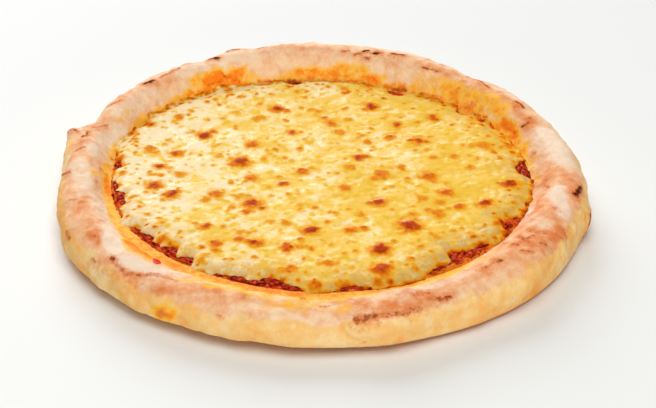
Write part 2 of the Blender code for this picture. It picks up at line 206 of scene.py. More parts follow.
# Browned blisters on the cheese: x, y in the photograph, radius in mm, and how dark from 0 to 1.
BLISTERS = (
    (204.5, 135, 4.2, 0.86), (212, 132, 2.6, 0.6), (241, 162, 5.2, 0.84), (233, 165, 3.0, 0.55),
    (278, 109, 4.0, 0.8), (286, 111, 3.0, 0.6), (252, 203, 5.2, 0.76), (262, 208, 2.6, 0.7),
    (246, 211, 3.4, 0.6), (283, 183, 3.0, 0.8), (172, 194, 4.6, 0.78), (165, 195, 3.0, 0.6),
    (178, 191, 2.6, 0.6), (160, 166, 3.8, 0.76), (155, 185, 4.2, 0.74), (149, 187, 2.4, 0.55),
    (207, 226, 2.8, 0.8), (201, 228, 2.4, 0.45), (256, 243, 3.8, 0.76), (249, 242, 2.8, 0.55),
    (310, 231, 4.4, 0.86), (316, 229, 2.6, 0.6), (379, 202, 4.2, 0.84), (371, 202, 2.8, 0.6),
    (409, 225, 6.2, 0.9), (418, 228, 3.4, 0.7), (381, 250, 5.2, 0.9), (388, 248, 3.0, 0.6),
    (381, 269, 5.6, 0.78), (372, 270, 3.0, 0.5), (418, 141, 4.6, 0.82), (425, 142, 3.2, 0.6),
    (410, 140, 2.4, 0.7), (371, 107, 4.2, 0.82), (365, 109, 2.6, 0.6), (359, 158, 4.0, 0.76),
    (366, 157, 2.6, 0.55), (486, 204, 4.2, 0.84), (492, 202, 2.8, 0.6), (511, 183.5, 4.2, 0.92),
    (503, 183, 2.8, 0.7), (504, 220, 4.4, 0.76), (497, 223, 2.4, 0.6), (150, 124, 3.0, 0.74),
    (398, 88.5, 3.8, 0.9), (391, 89, 2.4, 0.7), (118, 161, 3.0, 0.76), (122, 172, 2.4, 0.5),
    (524, 163, 4.2, 0.92), (530, 168, 2.6, 0.9), (520, 171, 2.6, 0.6), (176, 153, 4.8, 0.6),
    (292, 132, 3.8, 0.66), (300, 132, 2.6, 0.4), (252, 145, 4.0, 0.6), (252, 178, 4.6, 0.56),
    (302, 171, 4.6, 0.58), (311, 168, 2.8, 0.42), (331, 123, 4.0, 0.6), (216, 194, 4.6, 0.56),
    (206, 199, 3.4, 0.4), (216, 243, 4.6, 0.58), (240, 239, 3.8, 0.56), (287, 247, 4.6, 0.66),
    (280, 247, 3.0, 0.45), (433, 118, 4.4, 0.66), (397, 125, 4.2, 0.62), (390, 137, 3.4, 0.64),
    (430, 176, 4.6, 0.6), (420, 177, 3.0, 0.4), (448, 193, 4.4, 0.62), (440, 192, 3.0, 0.45),
    (381, 174, 5.4, 0.48), (373, 178, 3.4, 0.4), (460, 207, 4.0, 0.58), (439, 213, 5.2, 0.46),
    (428, 210, 3.6, 0.42), (339, 132, 4.0, 0.46), (325, 117, 3.2, 0.56), (291, 268, 5.0, 0.5),
    (281, 269, 3.4, 0.4), (352, 230, 4.2, 0.56), (346, 229, 2.4, 0.4), (365, 228, 3.0, 0.56),
    (162, 237, 3.6, 0.56), (150, 149, 5.2, 0.44), (156, 151, 3.4, 0.36), (259, 119, 4.4, 0.4),
    (178, 117, 3.6, 0.42), (178, 123, 2.6, 0.4), (220, 156, 4.0, 0.36), (180, 174, 4.4, 0.4),
    (231, 207, 3.4, 0.38), (346, 188, 4.0, 0.5), (483, 146, 5.2, 0.42), (472, 145, 3.6, 0.36),
    (420, 246, 2.8, 0.52), (328, 263, 4.4, 0.48), (345, 282, 4.6, 0.52), (315, 283, 4.0, 0.52),
    (368, 85.5, 3.4, 0.6), (361, 86, 2.4, 0.45), (345, 109, 3.4, 0.4), (347, 120, 3.2, 0.42),
    (368, 142, 3.2, 0.48), (349, 168, 4.4, 0.4), (400, 167, 3.6, 0.42), (434, 157, 3.2, 0.42),
    (453, 156, 3.4, 0.44), (470, 167, 3.4, 0.4), (422, 198, 3.8, 0.42), (440, 203, 3.6, 0.44),
    (459, 209, 2.6, 0.4), (407, 178, 2.4, 0.36), (246, 156, 2.4, 0.4), (241, 232, 3.4, 0.34),
    (230, 181, 2.6, 0.3), (322, 240, 3.2, 0.3), (306, 246, 2.4, 0.34), (330, 212, 3.0, 0.34),
    (300, 205, 3.0, 0.3), (300, 150, 2.6, 0.34), (267, 150, 3.0, 0.3), (275, 156, 2.6, 0.34),
    (214, 105, 2.6, 0.32), (238, 112, 2.8, 0.3), (271, 95, 2.8, 0.34), (310, 110, 3.2, 0.4),
    (318, 111, 3.0, 0.42), (301, 108, 2.8, 0.38), (420, 92, 3.2, 0.52), (432, 94, 3.0, 0.56),
    (441, 98, 2.8, 0.54), (461, 106, 3.2, 0.5), (481, 117, 3.2, 0.62), (346, 88, 3.0, 0.4),
    (508, 142, 3.4, 0.52), (513, 150, 3.0, 0.54), (205, 255, 3.0, 0.32), (230, 259, 2.6, 0.3),
    (132, 196, 3.0, 0.4), (125, 190, 2.4, 0.4), (330, 142, 2.6, 0.3), (452, 230, 2.6, 0.36),
    (470, 226, 3.0, 0.3), (437, 237, 2.8, 0.32), (356, 252, 2.8, 0.3), (410, 258, 3.0, 0.34),
    (335, 226, 2.6, 0.3), (270, 222, 3.0, 0.3),
)

# How far the cheese's edge lies outside the sauce's rim, in mm, every 15 degrees from +X.
EDGE_OVER = (
    0.5, 1.6, 2.4, 2.6, 2.4, 1.4, 0.8, 1.8, 2.4, 2.4, 2.0, 0.8,
    -2.0, -0.6, -1.2, -2.0, -2.4, -1.6, -1.6, -1.2, -1.2, -1.4, -0.8, -0.2,
)
# Bays in that edge, where sauce shows: from one bearing to another in degrees, and how deep in mm.
BAYS = (
    (-2, 8, 8), (38, 43, 4), (60, 68, 8), (94, 101, 6), (104, 110, 3), (147, 152, 3), (171, 177, 5),
    (183, 190, 4), (188, 199, 8), (196, 204, 4), (207, 214, 5.5), (212, 219.5, 8), (218, 224, 5.5),
    (222, 229, 8.5), (228, 235.5, 7.5), (242, 249, 4), (246, 251.5, 6), (250, 267, 7),
    (253.5, 262, 10.5), (273, 284, 4.2), (298, 307, 5.5), (304, 322, 7.5), (307, 314, 10),
    (329, 337.5, 6.5), (343, 347, 2.5),
)
# Browned places along that edge: bearing in degrees, mm inside the sauce's rim, radius in mm, how dark.
EDGE_SPOTS = (
    (10, 2, 2.2, 0.6), (15, 4, 2.4, 0.5), (22, 1, 2.6, 0.5), (33, -1, 2.4, 0.85), (36, 3, 2.0, 0.6),
    (45, -1, 2.0, 0.5), (49, 0, 2.2, 0.5), (54, -1.5, 2.4, 0.56), (57, 1, 2.2, 0.6), (73, 4, 2.6, 0.62),
    (78, 2, 2.2, 0.66), (81.5, 2.4, 2.0, 0.7), (85, 3, 2.0, 0.62), (92, 2, 1.8, 0.5),
    (106, 1, 2.4, 0.6), (118, 2, 2.6, 0.6), (124, -1, 2.0, 0.56), (130, 0, 2.4, 0.6),
    (134, 1, 2.2, 0.62), (139, 0, 2.0, 0.7), (141.5, 0.5, 2.0, 0.66), (150, 3, 2.6, 0.76),
    (157, 0, 2.2, 0.5), (171, 5, 2.6, 0.56), (285, 5, 3.0, 0.5), (288, 11, 3.4, 0.56),
    (324, 5, 2.2, 0.5), (328, 3, 2.4, 0.62), (340, 3, 2.0, 0.6), (342, 8, 2.4, 0.4), (300, 4, 1.6, 0.6),
    (306, 3, 1.4, 0.7), (312, 8, 1.8, 0.5), (318, 4, 1.5, 0.7), (322, 9, 1.6, 0.5), (331, 6, 1.6, 0.6),
    (336, 9, 2.0, 0.5), (297, 9, 1.6, 0.5), (327, 14, 1.8, 0.5), (334, 14, 1.5, 0.5),
    (345, 1, 2.4, 0.66), (350, 0.5, 2.2, 0.6), (354, 1, 2.0, 0.5), (358, 0, 2.0, 0.7),
    (270, 7, 2.8, 0.5),
)
# How far the sauce is drawn back from its rim in mm, how dark it has cooked, how orange its oil shows,
# how dull and dark the cheese is at its edge, which is partly thin cheese and partly painted shade where
# the edge slopes away from the light, and how toasted, every 30 degrees from +X.
DRAWN_BACK = (0.0, 0.0, 0.0, 0.0, 0.0, 0.0, 1.0, 2.8, 2.8, 2.4, 1.4, 0.4)
SAUCE_COOKED = (0.95, 0.45, 0.6, 0.8, 0.45, 0.5, 0.95, 0.75, 0.95, 0.9, 0.85, 0.8)
SAUCE_OIL = (0.35, 0.8, 0.6, 0.5, 0.9, 0.8, 0.55, 0.45, 0.35, 0.35, 0.7, 0.7)
EDGE_DULL_AND_SHADE = (0.6, 0.5, 0.3, 0.1, 0.1, 0.1, 0.1, 0.4, 0.5, 0.6, 0.9, 0.9)
EDGE_TOASTED = (0.6, 0.5, 0.5, 0.35, 0.5, 0.5, 0.35, 0.1, 0.1, 0.3, 0.55, 0.65)


def by_eye(red, green, blue):
    """A linear colour from display values from 0 to 255."""
    return tuple(((value / 255 + 0.055) / 1.055) ** 2.4 for value in (red, green, blue))


def smooth(value, low, high):
    """0 below low, 1 above high, and smooth between them."""
    t = np.clip((value - low) / (high - low), 0.0, 1.0)
    return t * t * (3.0 - 2.0 * t)


# Settings


def size(name, description, default):
    """A length that a user can change."""
    return bpy.props.FloatProperty(
        name=name, description=description, default=default, min=0.0, precision=5, unit="LENGTH"
    )


def power(name, description, default):
    """A light's power that a user can change."""
    return bpy.props.FloatProperty(
        name=name, description=description, default=default, min=0.0, unit="POWER"
    )


def number(name, description, default):
    """A count that a user can change."""
    return bpy.props.IntProperty(name=name, description=description, default=default, min=1)


def colour(name, description, *values):
    """A colour that a user can change, from display values."""
    return bpy.props.FloatVectorProperty(
        name=name, description=description, default=by_eye(*values), min=0.0, max=1.0, subtype="COLOR"
    )


class PizzaCrustSettings(bpy.types.PropertyGroup):
    around: number("Around", "Corners round the rim, a multiple of 64", 960)
    along: number("Along", "Corners over the rim, from its resting edge to its foot", 92)
    puffs: size("Puffs", "Height of the broad puffs in the rim", 0.8 * MM)
    skin: size("Skin", "Height of the small unevenness of the baked skin", 0.34 * MM)
    pores: size("Pores", "Height of the finest unevenness", 0.12 * MM)
    tuck: size("Tuck", "How far the rim's lowest part is tucked under", 6.0 * MM)
    gap: size("Gap", "How far the rim's lowest part stands off the table", 1.4 * MM)
    bubbles: number("Bubbles", "Small blisters in the rim's skin", 520)
    bubble: size("Bubble", "Greatest radius of such a blister", 4.6 * MM)
    wall: colour("Wall", "The rim's golden outer wall", 245, 197, 129)
    pale_wall: colour("Pale wall", "Paler places in that wall", 247, 216, 167)
    tan: colour("Tan", "Darker places in that wall", 247, 168, 80)
    peach: colour("Peach", "The rim's top", 247, 206, 169)
    pale_top: colour("Pale top", "Paler places in the top", 248, 219, 194)
    blush: colour("Blush", "Pink places in the top", 238, 172, 126)
    flour: colour("Flour", "Floury places", 245, 222, 202)
    stain: colour("Stain", "Dough stained by oil", 255, 190, 52)
    deep_stain: colour("Deep stain", "Dough stained by sauce", 252, 122, 10)
    toasted: colour("Toasted", "Toasted skin", 226, 131, 74)
    brown: colour("Brown", "Browned skin", 160, 76, 38)
    scorch: colour("Scorch", "Scorched skin", 62, 30, 22)
    drop: colour("Drop", "Drops of sauce on the crust", 226, 32, 14)
    smear: colour("Smear", "Sauce cooked onto the dough", 150, 48, 14)


class PizzaSauceSettings(bpy.types.PropertyGroup):
    around: number("Around", "Corners round the sauce, a multiple of 64", 960)
    bands: number("Bands", "Rings of the sauce's top that show", 22)
    lumps: size("Lumps", "Height of the sauce's lumps", 0.7 * MM)
    fresh: colour("Fresh", "Sauce that has cooked little", 246, 90, 42)
    cooked: colour("Cooked", "Sauce that has cooked dark", 116, 10, 10)
    oil: colour("Oil", "Orange oil over the sauce", 244, 136, 30)


class PizzaCheeseSettings(bpy.types.PropertyGroup):
    around: number("Around", "Corners round the cheese, a multiple of 64", 960)
    spacing: size("Spacing", "From one ring of corners to the next", 0.84 * MM)
    shreds: number("Shreds", "Melted shreds in the sheet", 4200)
    shred_length: size("Shred length", "Greatest length of a melted shred", 11 * MM)
    shred_width: size("Shred width", "Greatest width of a melted shred", 4.2 * MM)
    shred_height: size("Shred height", "How far a shred stands out of the sheet", 0.28 * MM)
    melt: size("Melt", "How far the shreds have run into each other", 0.75 * MM)
    specks: number("Specks", "Small golden blisters at random places", 480)
    bits: number("Bits", "Small toasted places near the sheet's edge", 340)
    milk: colour("Milk", "The palest cheese", 246, 223, 184)
    cream: colour("Cream", "Pale cheese", 247, 222, 168)
    butter: colour("Butter", "The commonest cheese", 243, 198, 92)
    gold: colour("Gold", "The yellowest cheese", 232, 184, 52)
    toasted: colour("Toasted", "Lightly toasted cheese", 232, 158, 30)
    browned: colour("Browned", "Browned cheese", 220, 108, 10)
    scorched: colour("Scorched", "The darkest blisters", 168, 52, 4)
    # A dull, darker colour for the sheet's edge: thin cheese, and also painted shade where the edge
    # slopes away from the light.
    dull: colour("Dull", "Thin cheese near the sheet's edge", 206, 166, 104)


class PizzaTrimSettings(bpy.types.PropertyGroup):
    flour_size: size("Flour grains", "Size of the largest grains of flour", 0.42 * MM)
    flour_density: number("Flour density", "Grains on a square metre of floury crust", 60000)
    pulp_size: size("Pulp", "Size of the largest pieces of tomato pulp", 2.4 * MM)
    pulp_density: number("Pulp density", "Pieces on a square metre of bare sauce", 90000)
    bead_size: size("Oil beads", "Size of the largest beads of oil", 0.9 * MM)
    bead_density: number("Bead density", "Beads on a square metre of oily cheese", 30000)
    flour: colour("Flour", "Dry flour", 253, 240, 222)
    oil: colour("Oil", "Beads of cheese fat", 240, 168, 44)


class PizzaStageSettings(bpy.types.PropertyGroup):
    # The floor's colour; towards +X the script paints shade onto it, as a falloff of light.
    floor: colour("Floor", "The plain floor", 240, 240, 242)
    sky: bpy.props.FloatProperty(
        name="Sky", description="Strength of the even light", default=0.11, min=0.0
    )
    back_light: power("Back light", "Power of the low light behind", 518.0)
    overhead: power("Overhead", "Power of the light above", 66.0)
    fill: power("Fill", "Power of the low light in front", 37.0)


GROUPS = {
    "pizza_crust": PizzaCrustSettings,
    "pizza_sauce": PizzaSauceSettings,
    "pizza_cheese": PizzaCheeseSettings,
    "pizza_trim": PizzaTrimSettings,
    "pizza_stage": PizzaStageSettings,
}


# The photograph's view


VIEW_FORWARD = Vector((0.0, math.cos(CAMERA_ELEVATION), -math.sin(CAMERA_ELEVATION)))
VIEW_UP = Vector((0.0, math.sin(CAMERA_ELEVATION), math.cos(CAMERA_ELEVATION)))
VIEW_RIGHT = Vector((1.0, 0.0, 0.0))
CAMERA_SPOT = MIDDLE - CAMERA_DISTANCE * VIEW_FORWARD


def sight_line(x, y):
    """The direction from the camera through a pixel of the photograph."""
    line = VIEW_FORWARD * FOCAL_PIXELS
    line += VIEW_RIGHT * (x - MIDDLE_PIXEL[0]) - VIEW_UP * (y - MIDDLE_PIXEL[1])
    return line.normalized()


def spot_on_level(x, y, height):
    """The point at a height that a pixel shows."""
    line = sight_line(x, y)
    return CAMERA_SPOT + line * ((height - CAMERA_SPOT.z) / line.z)


def spot_on_surface(tree, x, y):
    """The point of a surface that a pixel shows, or else one that is a little nearer to the middle."""
    for percent in np.arange(0.0, 20.0, 0.5):
        nudge = percent / 100
        inwards = sight_line(x + nudge * (MIDDLE_PIXEL[0] - x), y + nudge * (MIDDLE_PIXEL[1] - y))
        hit = tree.ray_cast(CAMERA_SPOT, inwards)[0]
        if hit:
            return hit
    raise ValueError(f"pixel {x}, {y} shows no surface")


# Meshes


def linked(name, data):
    """A new object of the scene."""
    thing = bpy.data.objects.new(name, data)
    bpy.context.scene.collection.objects.link(thing)
    return thing


def surface_of(name):
    """A search tree of an object's surface, as its modifiers leave it."""
    return BVHTree.FromObject(bpy.data.objects[name], bpy.context.evaluated_depsgraph_get())


def smooth_surface(node, levels):
    """A search tree of a CAD node's surface, with its facets rounded off."""
    mesh = bmesh.new()
    mesh.from_mesh(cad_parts[node].data)
    bmesh.ops.remove_doubles(mesh, verts=mesh.verts, dist=0.01 * MM)
    bend = math.radians(60)
    bmesh.ops.join_triangles(
        mesh, faces=mesh.faces, angle_face_threshold=bend, angle_shape_threshold=bend
    )
    data = bpy.data.meshes.new(node + "_rounded")
    mesh.to_mesh(data)
    mesh.free()
    rounded = linked(data.name, data)
    modifier = rounded.modifiers.new("Round", "SUBSURF")
    modifier.levels = modifier.render_levels = levels
    tree = surface_of(rounded.name)
    bpy.data.objects.remove(rounded)
    return tree


def bearings_of(count):
    return np.linspace(0.0, math.tau, count, endpoint=False)


def outwards(turn):
    """The level direction at a bearing."""
    return Vector((math.cos(turn), math.sin(turn), 0.0))


def ring(radii, height):
    """Corners round the middle, at a radius for each bearing, and at one height."""
    turn = bearings_of(len(radii))
    x, y = MIDDLE.x + radii * np.cos(turn), MIDDLE.y + radii * np.sin(turn)
    return np.column_stack((x, y, np.full(len(radii), height)))


def band(start, count, following):
    """Faces from a ring, whose corners start at a number, to one of as many, half or twice as many."""
    here = start + np.arange(count)
    after = start + (np.arange(count) + 1) % count
    inner = start + count + np.arange(following)
    inner_after = start + count + (np.arange(following) + 1) % following
    if following == count:
        return np.column_stack((here, after, inner_after, inner)).tolist()
    if following < count:
        first, middle, last = here[::2], after[::2], after[1::2]
        triangles = ((first, middle, inner), (middle, inner_after, inner), (middle, last, inner_after))
    else:
        first, middle, last = inner[::2], inner_after[::2], inner_after[1::2]
        triangles = ((here, middle, first), (here, after, middle), (after, last, middle))
    return np.vstack([np.column_stack(corners) for corners in triangles]).tolist()


def closed_mesh(name, rings):
    """A closed mesh over rings, from the middle of the underside round to the middle of the top."""
    points = np.vstack([rings[0].mean(0)[None], *rings, rings[-1].mean(0)[None]])
    count = len(rings[0])
    faces = [(0, 1 + (k + 1) % count, 1 + k) for k in range(count)]
    start = 1
    for here, following in zip(rings, rings[1:]):
        faces += band(start, len(here), len(following))
        start += len(here)
    count = len(rings[-1])
    faces += [(start + k, start + (k + 1) % count, len(points) - 1) for k in range(count)]
    mesh = bpy.data.meshes.new(name)
    mesh.from_pydata(points.tolist(), [], faces)
    mesh.shade_smooth()
    return mesh


def closing_rings(edge, height, shares):
    """Rings inside an edge, at a height and at shares of its width. Each has half the corners."""
    middle = np.array((MIDDLE.x, MIDDLE.y, height))
    flat = edge.copy()
    flat[:, 2] = height
    for share in shares:
        flat = flat[::2]
        yield middle + (flat - middle) * share


def corners_of(mesh, value="co"):
    """The places of a mesh's corners, or their normals."""
    found = np.empty(len(mesh.vertices) * 3)
    mesh.vertices.foreach_get(value, found)
    return found.reshape(-1, 3)


def move_corners(mesh, points):
    mesh.vertices.foreach_set("co", np.ascontiguousarray(points).ravel())
    mesh.update()


def keep(mesh, **fields):
    """Stores a value from 0 to 1 for each corner under each field's name."""
    for name, values in fields.items():
        attribute = mesh.attributes.new(name, "FLOAT", "POINT")
        attribute.data.foreach_set("value", np.clip(values, 0.0, 1.0).astype(np.float32))


def grain(points, width, start):
    """Smooth noise at points, about from -1 to 1, whose lumps are about a width across."""
    placed = points / width + 17.3 * start
    return np.fromiter((noise.noise(point) for point in placed.tolist()), float, len(placed)) * 1.4


def around(values, turn):
    """A closed smooth curve through evenly spaced values, read at bearings."""
    values = np.asarray(values)
    count = len(values)
    place = np.mod(turn / math.tau, 1.0) * count
    first = place.astype(int)
    t = place - first
    a, b, c, d = (values[(first + k) % count] for k in (-1, 0, 1, 2))
    return b + 0.5 * t * (c - a + t * (2 * a - 5 * b + 4 * c - d + t * (3 * (b - c) + d - a)))


def turn_and_radius(points):
    x, y = points[:, 0] - MIDDLE.x, points[:, 1] - MIDDLE.y
    return np.arctan2(y, x), np.hypot(x, y)


def heights_below(tree, points):
    """The height of a surface straight below each point."""
    found = []
    for x, y in points[:, :2].tolist():
        hit = tree.ray_cast(Vector((x, y, ABOVE_PIZZA)), -UP)[0]
        found.append(hit.z if hit else math.nan)
    return np.array(found)


def add_piece(name, mesh, material, node=None):
    """Links a finished mesh as a piece of the pizza, standing for a CAD node where one is given."""
    piece = linked(name, mesh)
    mesh.materials.clear()
    mesh.materials.append(material)
    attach(piece, BODY)
    if node:
        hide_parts(node)


# Node trees


class Socket:
    """A node's output, with which sums are written as Python sums."""

    def __init__(self, nodes, output):
        self.nodes = nodes
        self.output = output

    def math(self, operation, first, second=0.0):
        return self.nodes.add("ShaderNodeMath", {"operation": operation}, {0: first, 1: second})

    def __add__(self, other):
        return self.math("ADD", self, other)

    def __sub__(self, other):
        return self.math("SUBTRACT", self, other)

    def __rsub__(self, other):
        return self.math("SUBTRACT", other, self)

    def __mul__(self, other):
        return self.math("MULTIPLY", self, other)

    def __truediv__(self, other):
        return self.math("DIVIDE", self, other)

    def __pow__(self, other):
        return self.math("POWER", self, other)

    __radd__ = __add__
    __rmul__ = __mul__

    def beside(self, name):
        """Another output of the same node."""
        return Socket(self.nodes, self.output.node.outputs[name])

    def limited(self):
        """This value kept from 0 to 1."""
        return self.nodes.add("ShaderNodeClamp", {}, {0: self})

    def rise(self, low, high):
        """0 below low, 1 above high, and smooth between them."""
        return self.nodes.add(
            "ShaderNodeMapRange", {"interpolation_type": "SMOOTHSTEP"}, {0: self, 1: low, 2: high}
        )

    def broken_up(self, low, high, uneven):
        """This value with something uneven added to it, not below low and in full above high."""
        return self + self.rise(low, high) * uneven


class Nodes:
    """A node tree that is being built."""

    def __init__(self, tree):
        self.tree = tree

    def add(self, kind, settings, inputs, output=0):
        """One node: its settings first, then a value or a link for each of its sockets."""
        node = self.tree.nodes.new(kind)
        for name, setting in settings.items():
            if name == "stops":
                self.set_stops(node.color_ramp, setting)
            else:
                setattr(node, name, setting)
        for name, value in inputs.items():
            if isinstance(value, Socket):
                self.tree.links.new(value.output, node.inputs[name])
            else:
                node.inputs[name].default_value = value
        return Socket(self, node.outputs[output]) if node.outputs else None

    @staticmethod
    def set_stops(ramp, stops):
        while len(ramp.elements) < len(stops):
            ramp.elements.new(1.0)
        for element, (position, tint) in zip(ramp.elements, stops):
            element.position = position
            element.color = (*tint, 1.0)


class Finish(Nodes):
    """A material of the pizza, with the nodes that its finish is made of."""

    def __init__(self, name):
        self.material = bpy.data.materials.new(name)
        self.material.use_nodes = True
        super().__init__(self.material.node_tree)
        self.shader = self.tree.nodes["Principled BSDF"]
        self.place = self.add("ShaderNodeTexCoord", {}, {}, "Object")

    def field(self, name):
        """A value that the mesh keeps for each corner."""
        return self.add("ShaderNodeAttribute", {"attribute_name": name}, {}, "Fac")

    def grain(self, width, detail=3.0, roughness=0.55):
        """Noise from 0 to 1 whose lumps are about a width across."""
        return self.add(
            "ShaderNodeTexNoise",
            {},
            {"Vector": self.place, "Scale": 1.0 / width, "Detail": detail, "Roughness": roughness},
        )

    def streaks(self, width, length):
        """Noise from 0 to 1 whose lumps are drawn out round the pizza's middle."""
        across = self.add("ShaderNodeSeparateXYZ", {}, {"Vector": self.place})
        x, y = across - MIDDLE.x, across.beside("Y") - MIDDLE.y
        turn = across.math("ARCTAN2", x, 0.0 - y)
        sides = {"X": (x * x + y * y) ** 0.5 / width, "Y": turn * (120 * MM / length), "Z": 0.0}
        round_it = self.add("ShaderNodeCombineXYZ", {}, sides)
        return self.add("ShaderNodeTexNoise", {}, {"Vector": round_it, "Scale": 1.0, "Detail": 3.0})

    def cells(self, width):
        """The distance to the nearest of some random points, about a width apart."""
        return self.add("ShaderNodeTexVoronoi", {}, {"Vector": self.place, "Scale": 1.0 / width})

    def mix(self, factor, first, second):
        """A colour between two colours."""
        first, second = (c if isinstance(c, Socket) else (*c, 1.0) for c in (first, second))
        return self.add("ShaderNodeMix", {"data_type": "RGBA"}, {0: factor, 6: first, 7: second}, 2)

    def ramp(self, factor, *stops):
        return self.add("ShaderNodeValToRGB", {"stops": stops}, {0: factor})

    def height(self, value, distance, strength=1.0, over=None):
        """A Bump node's normal, over another one where that is given."""
        inputs = {"Height": value, "Distance": distance, "Strength": strength}
        if over:
            inputs["Normal"] = over
        return self.add("ShaderNodeBump", {}, inputs)

    def set(self, **inputs):
        """Values and links for the shader's sockets, whose names are written with _ for a space."""
        for name, value in inputs.items():
            socket = self.shader.inputs[name.replace("_", " ")]
            if isinstance(value, Socket):
                self.tree.links.new(value.output, socket)
            else:
                socket.default_value = value
        return self.material


# Crust


def even_section(tree, count):
    """Directions from the rim's core that cross its surface at even distances, from edge to floor."""
    fine = np.linspace(RIM_SECTION_START, RIM_SECTION_END, SECTION_STEPS)
    lengths = np.zeros(len(fine))
    for turn in bearings_of(SECTION_BEARINGS):
        points = np.array([rim_hit(tree, turn, angle) for angle in fine])
        lengths[1:] += np.linalg.norm(np.diff(points, axis=0), axis=1)
    travelled = np.cumsum(lengths)
    return np.interp(np.linspace(0.0, travelled[-1], count), travelled, fine)


def rim_hit(tree, turn, angle):
    """The point of the crust's surface in a direction from the rim's core."""
    core = MIDDLE + RIM_CORE_RADIUS * outwards(turn) + RIM_CORE_HEIGHT * UP
    return tree.ray_cast(core, math.cos(angle) * outwards(turn) + math.sin(angle) * UP)[0]


def mark_field(tree, points, marks, full=0.3, gone=1.6):
    """How strongly marks show at points: in full within a share of the half width, not past another."""
    field = np.zeros(len(points))
    for x0, y0, x1, y1, half_width, strength in marks:
        steps = 2 + int(math.hypot(x1 - x0, y1 - y0) / PIXELS_A_STEP)
        shares = np.linspace(0, 1, steps)
        pixels = [(x0 + (x1 - x0) * share, y0 + (y1 - y0) * share) for share in shares]
        line = np.array([spot_on_surface(tree, x, y) for x, y in pixels])
        reach = 0.5 * np.linalg.norm(line[-1] - line[0]) + 1.2 * gone * half_width * MM + 2 * MM
        near = np.flatnonzero(np.abs(points - 0.5 * (line[0] + line[-1])).max(1) < reach)
        away = np.full(len(near), np.inf)
        for start, end in zip(line, line[1:]):
            along = end - start
            t = np.clip((points[near] - start) @ along / max(along @ along, 1e-12), 0.0, 1.0)
            away = np.minimum(away, np.linalg.norm(points[near] - start - t[:, None] * along, axis=1))
        value = strength * (1.0 - smooth(away / (half_width * MM), full, gone))
        field[near] = np.maximum(field[near], value)
    return field


def ragged(points, width, amount, start):
    """Points pushed about by noise, which makes the marks that are read at them ragged."""
    return points + amount * np.column_stack([grain(points, width, start + k) for k in range(3)])


def bubble_relief(points, normals, look):
    """Small domes at random places on the rim's top and outer side, and how browned their tips are."""
    rng = np.random.default_rng(BUBBLE_SEED)
    open_to_air = np.flatnonzero((points[:, 2] > 10 * MM) & (normals[:, 2] > -0.3))
    relief, browned = np.zeros(len(points)), np.zeros(len(points))
    for place in rng.choice(open_to_air, look.bubbles, replace=False):
        radius = look.bubble * rng.uniform(0.3, 1.0) ** 2 + 0.9 * MM
        tip = rng.uniform(0.25, 0.55) if rng.random() < 0.12 else 0.0
        near = np.flatnonzero(np.abs(points - points[place]).max(1) < radius)
        away = np.linalg.norm(points[near] - points[place], axis=1) / radius
        dome = 0.13 * radius * np.clip(1.0 - away**2, 0.0, 1.0) ** 1.5
        relief[near] = np.maximum(relief[near], dome)
        browned[near] = np.maximum(browned[near], tip * (1.0 - smooth(away, 0.1, 0.8)))
    return relief, browned


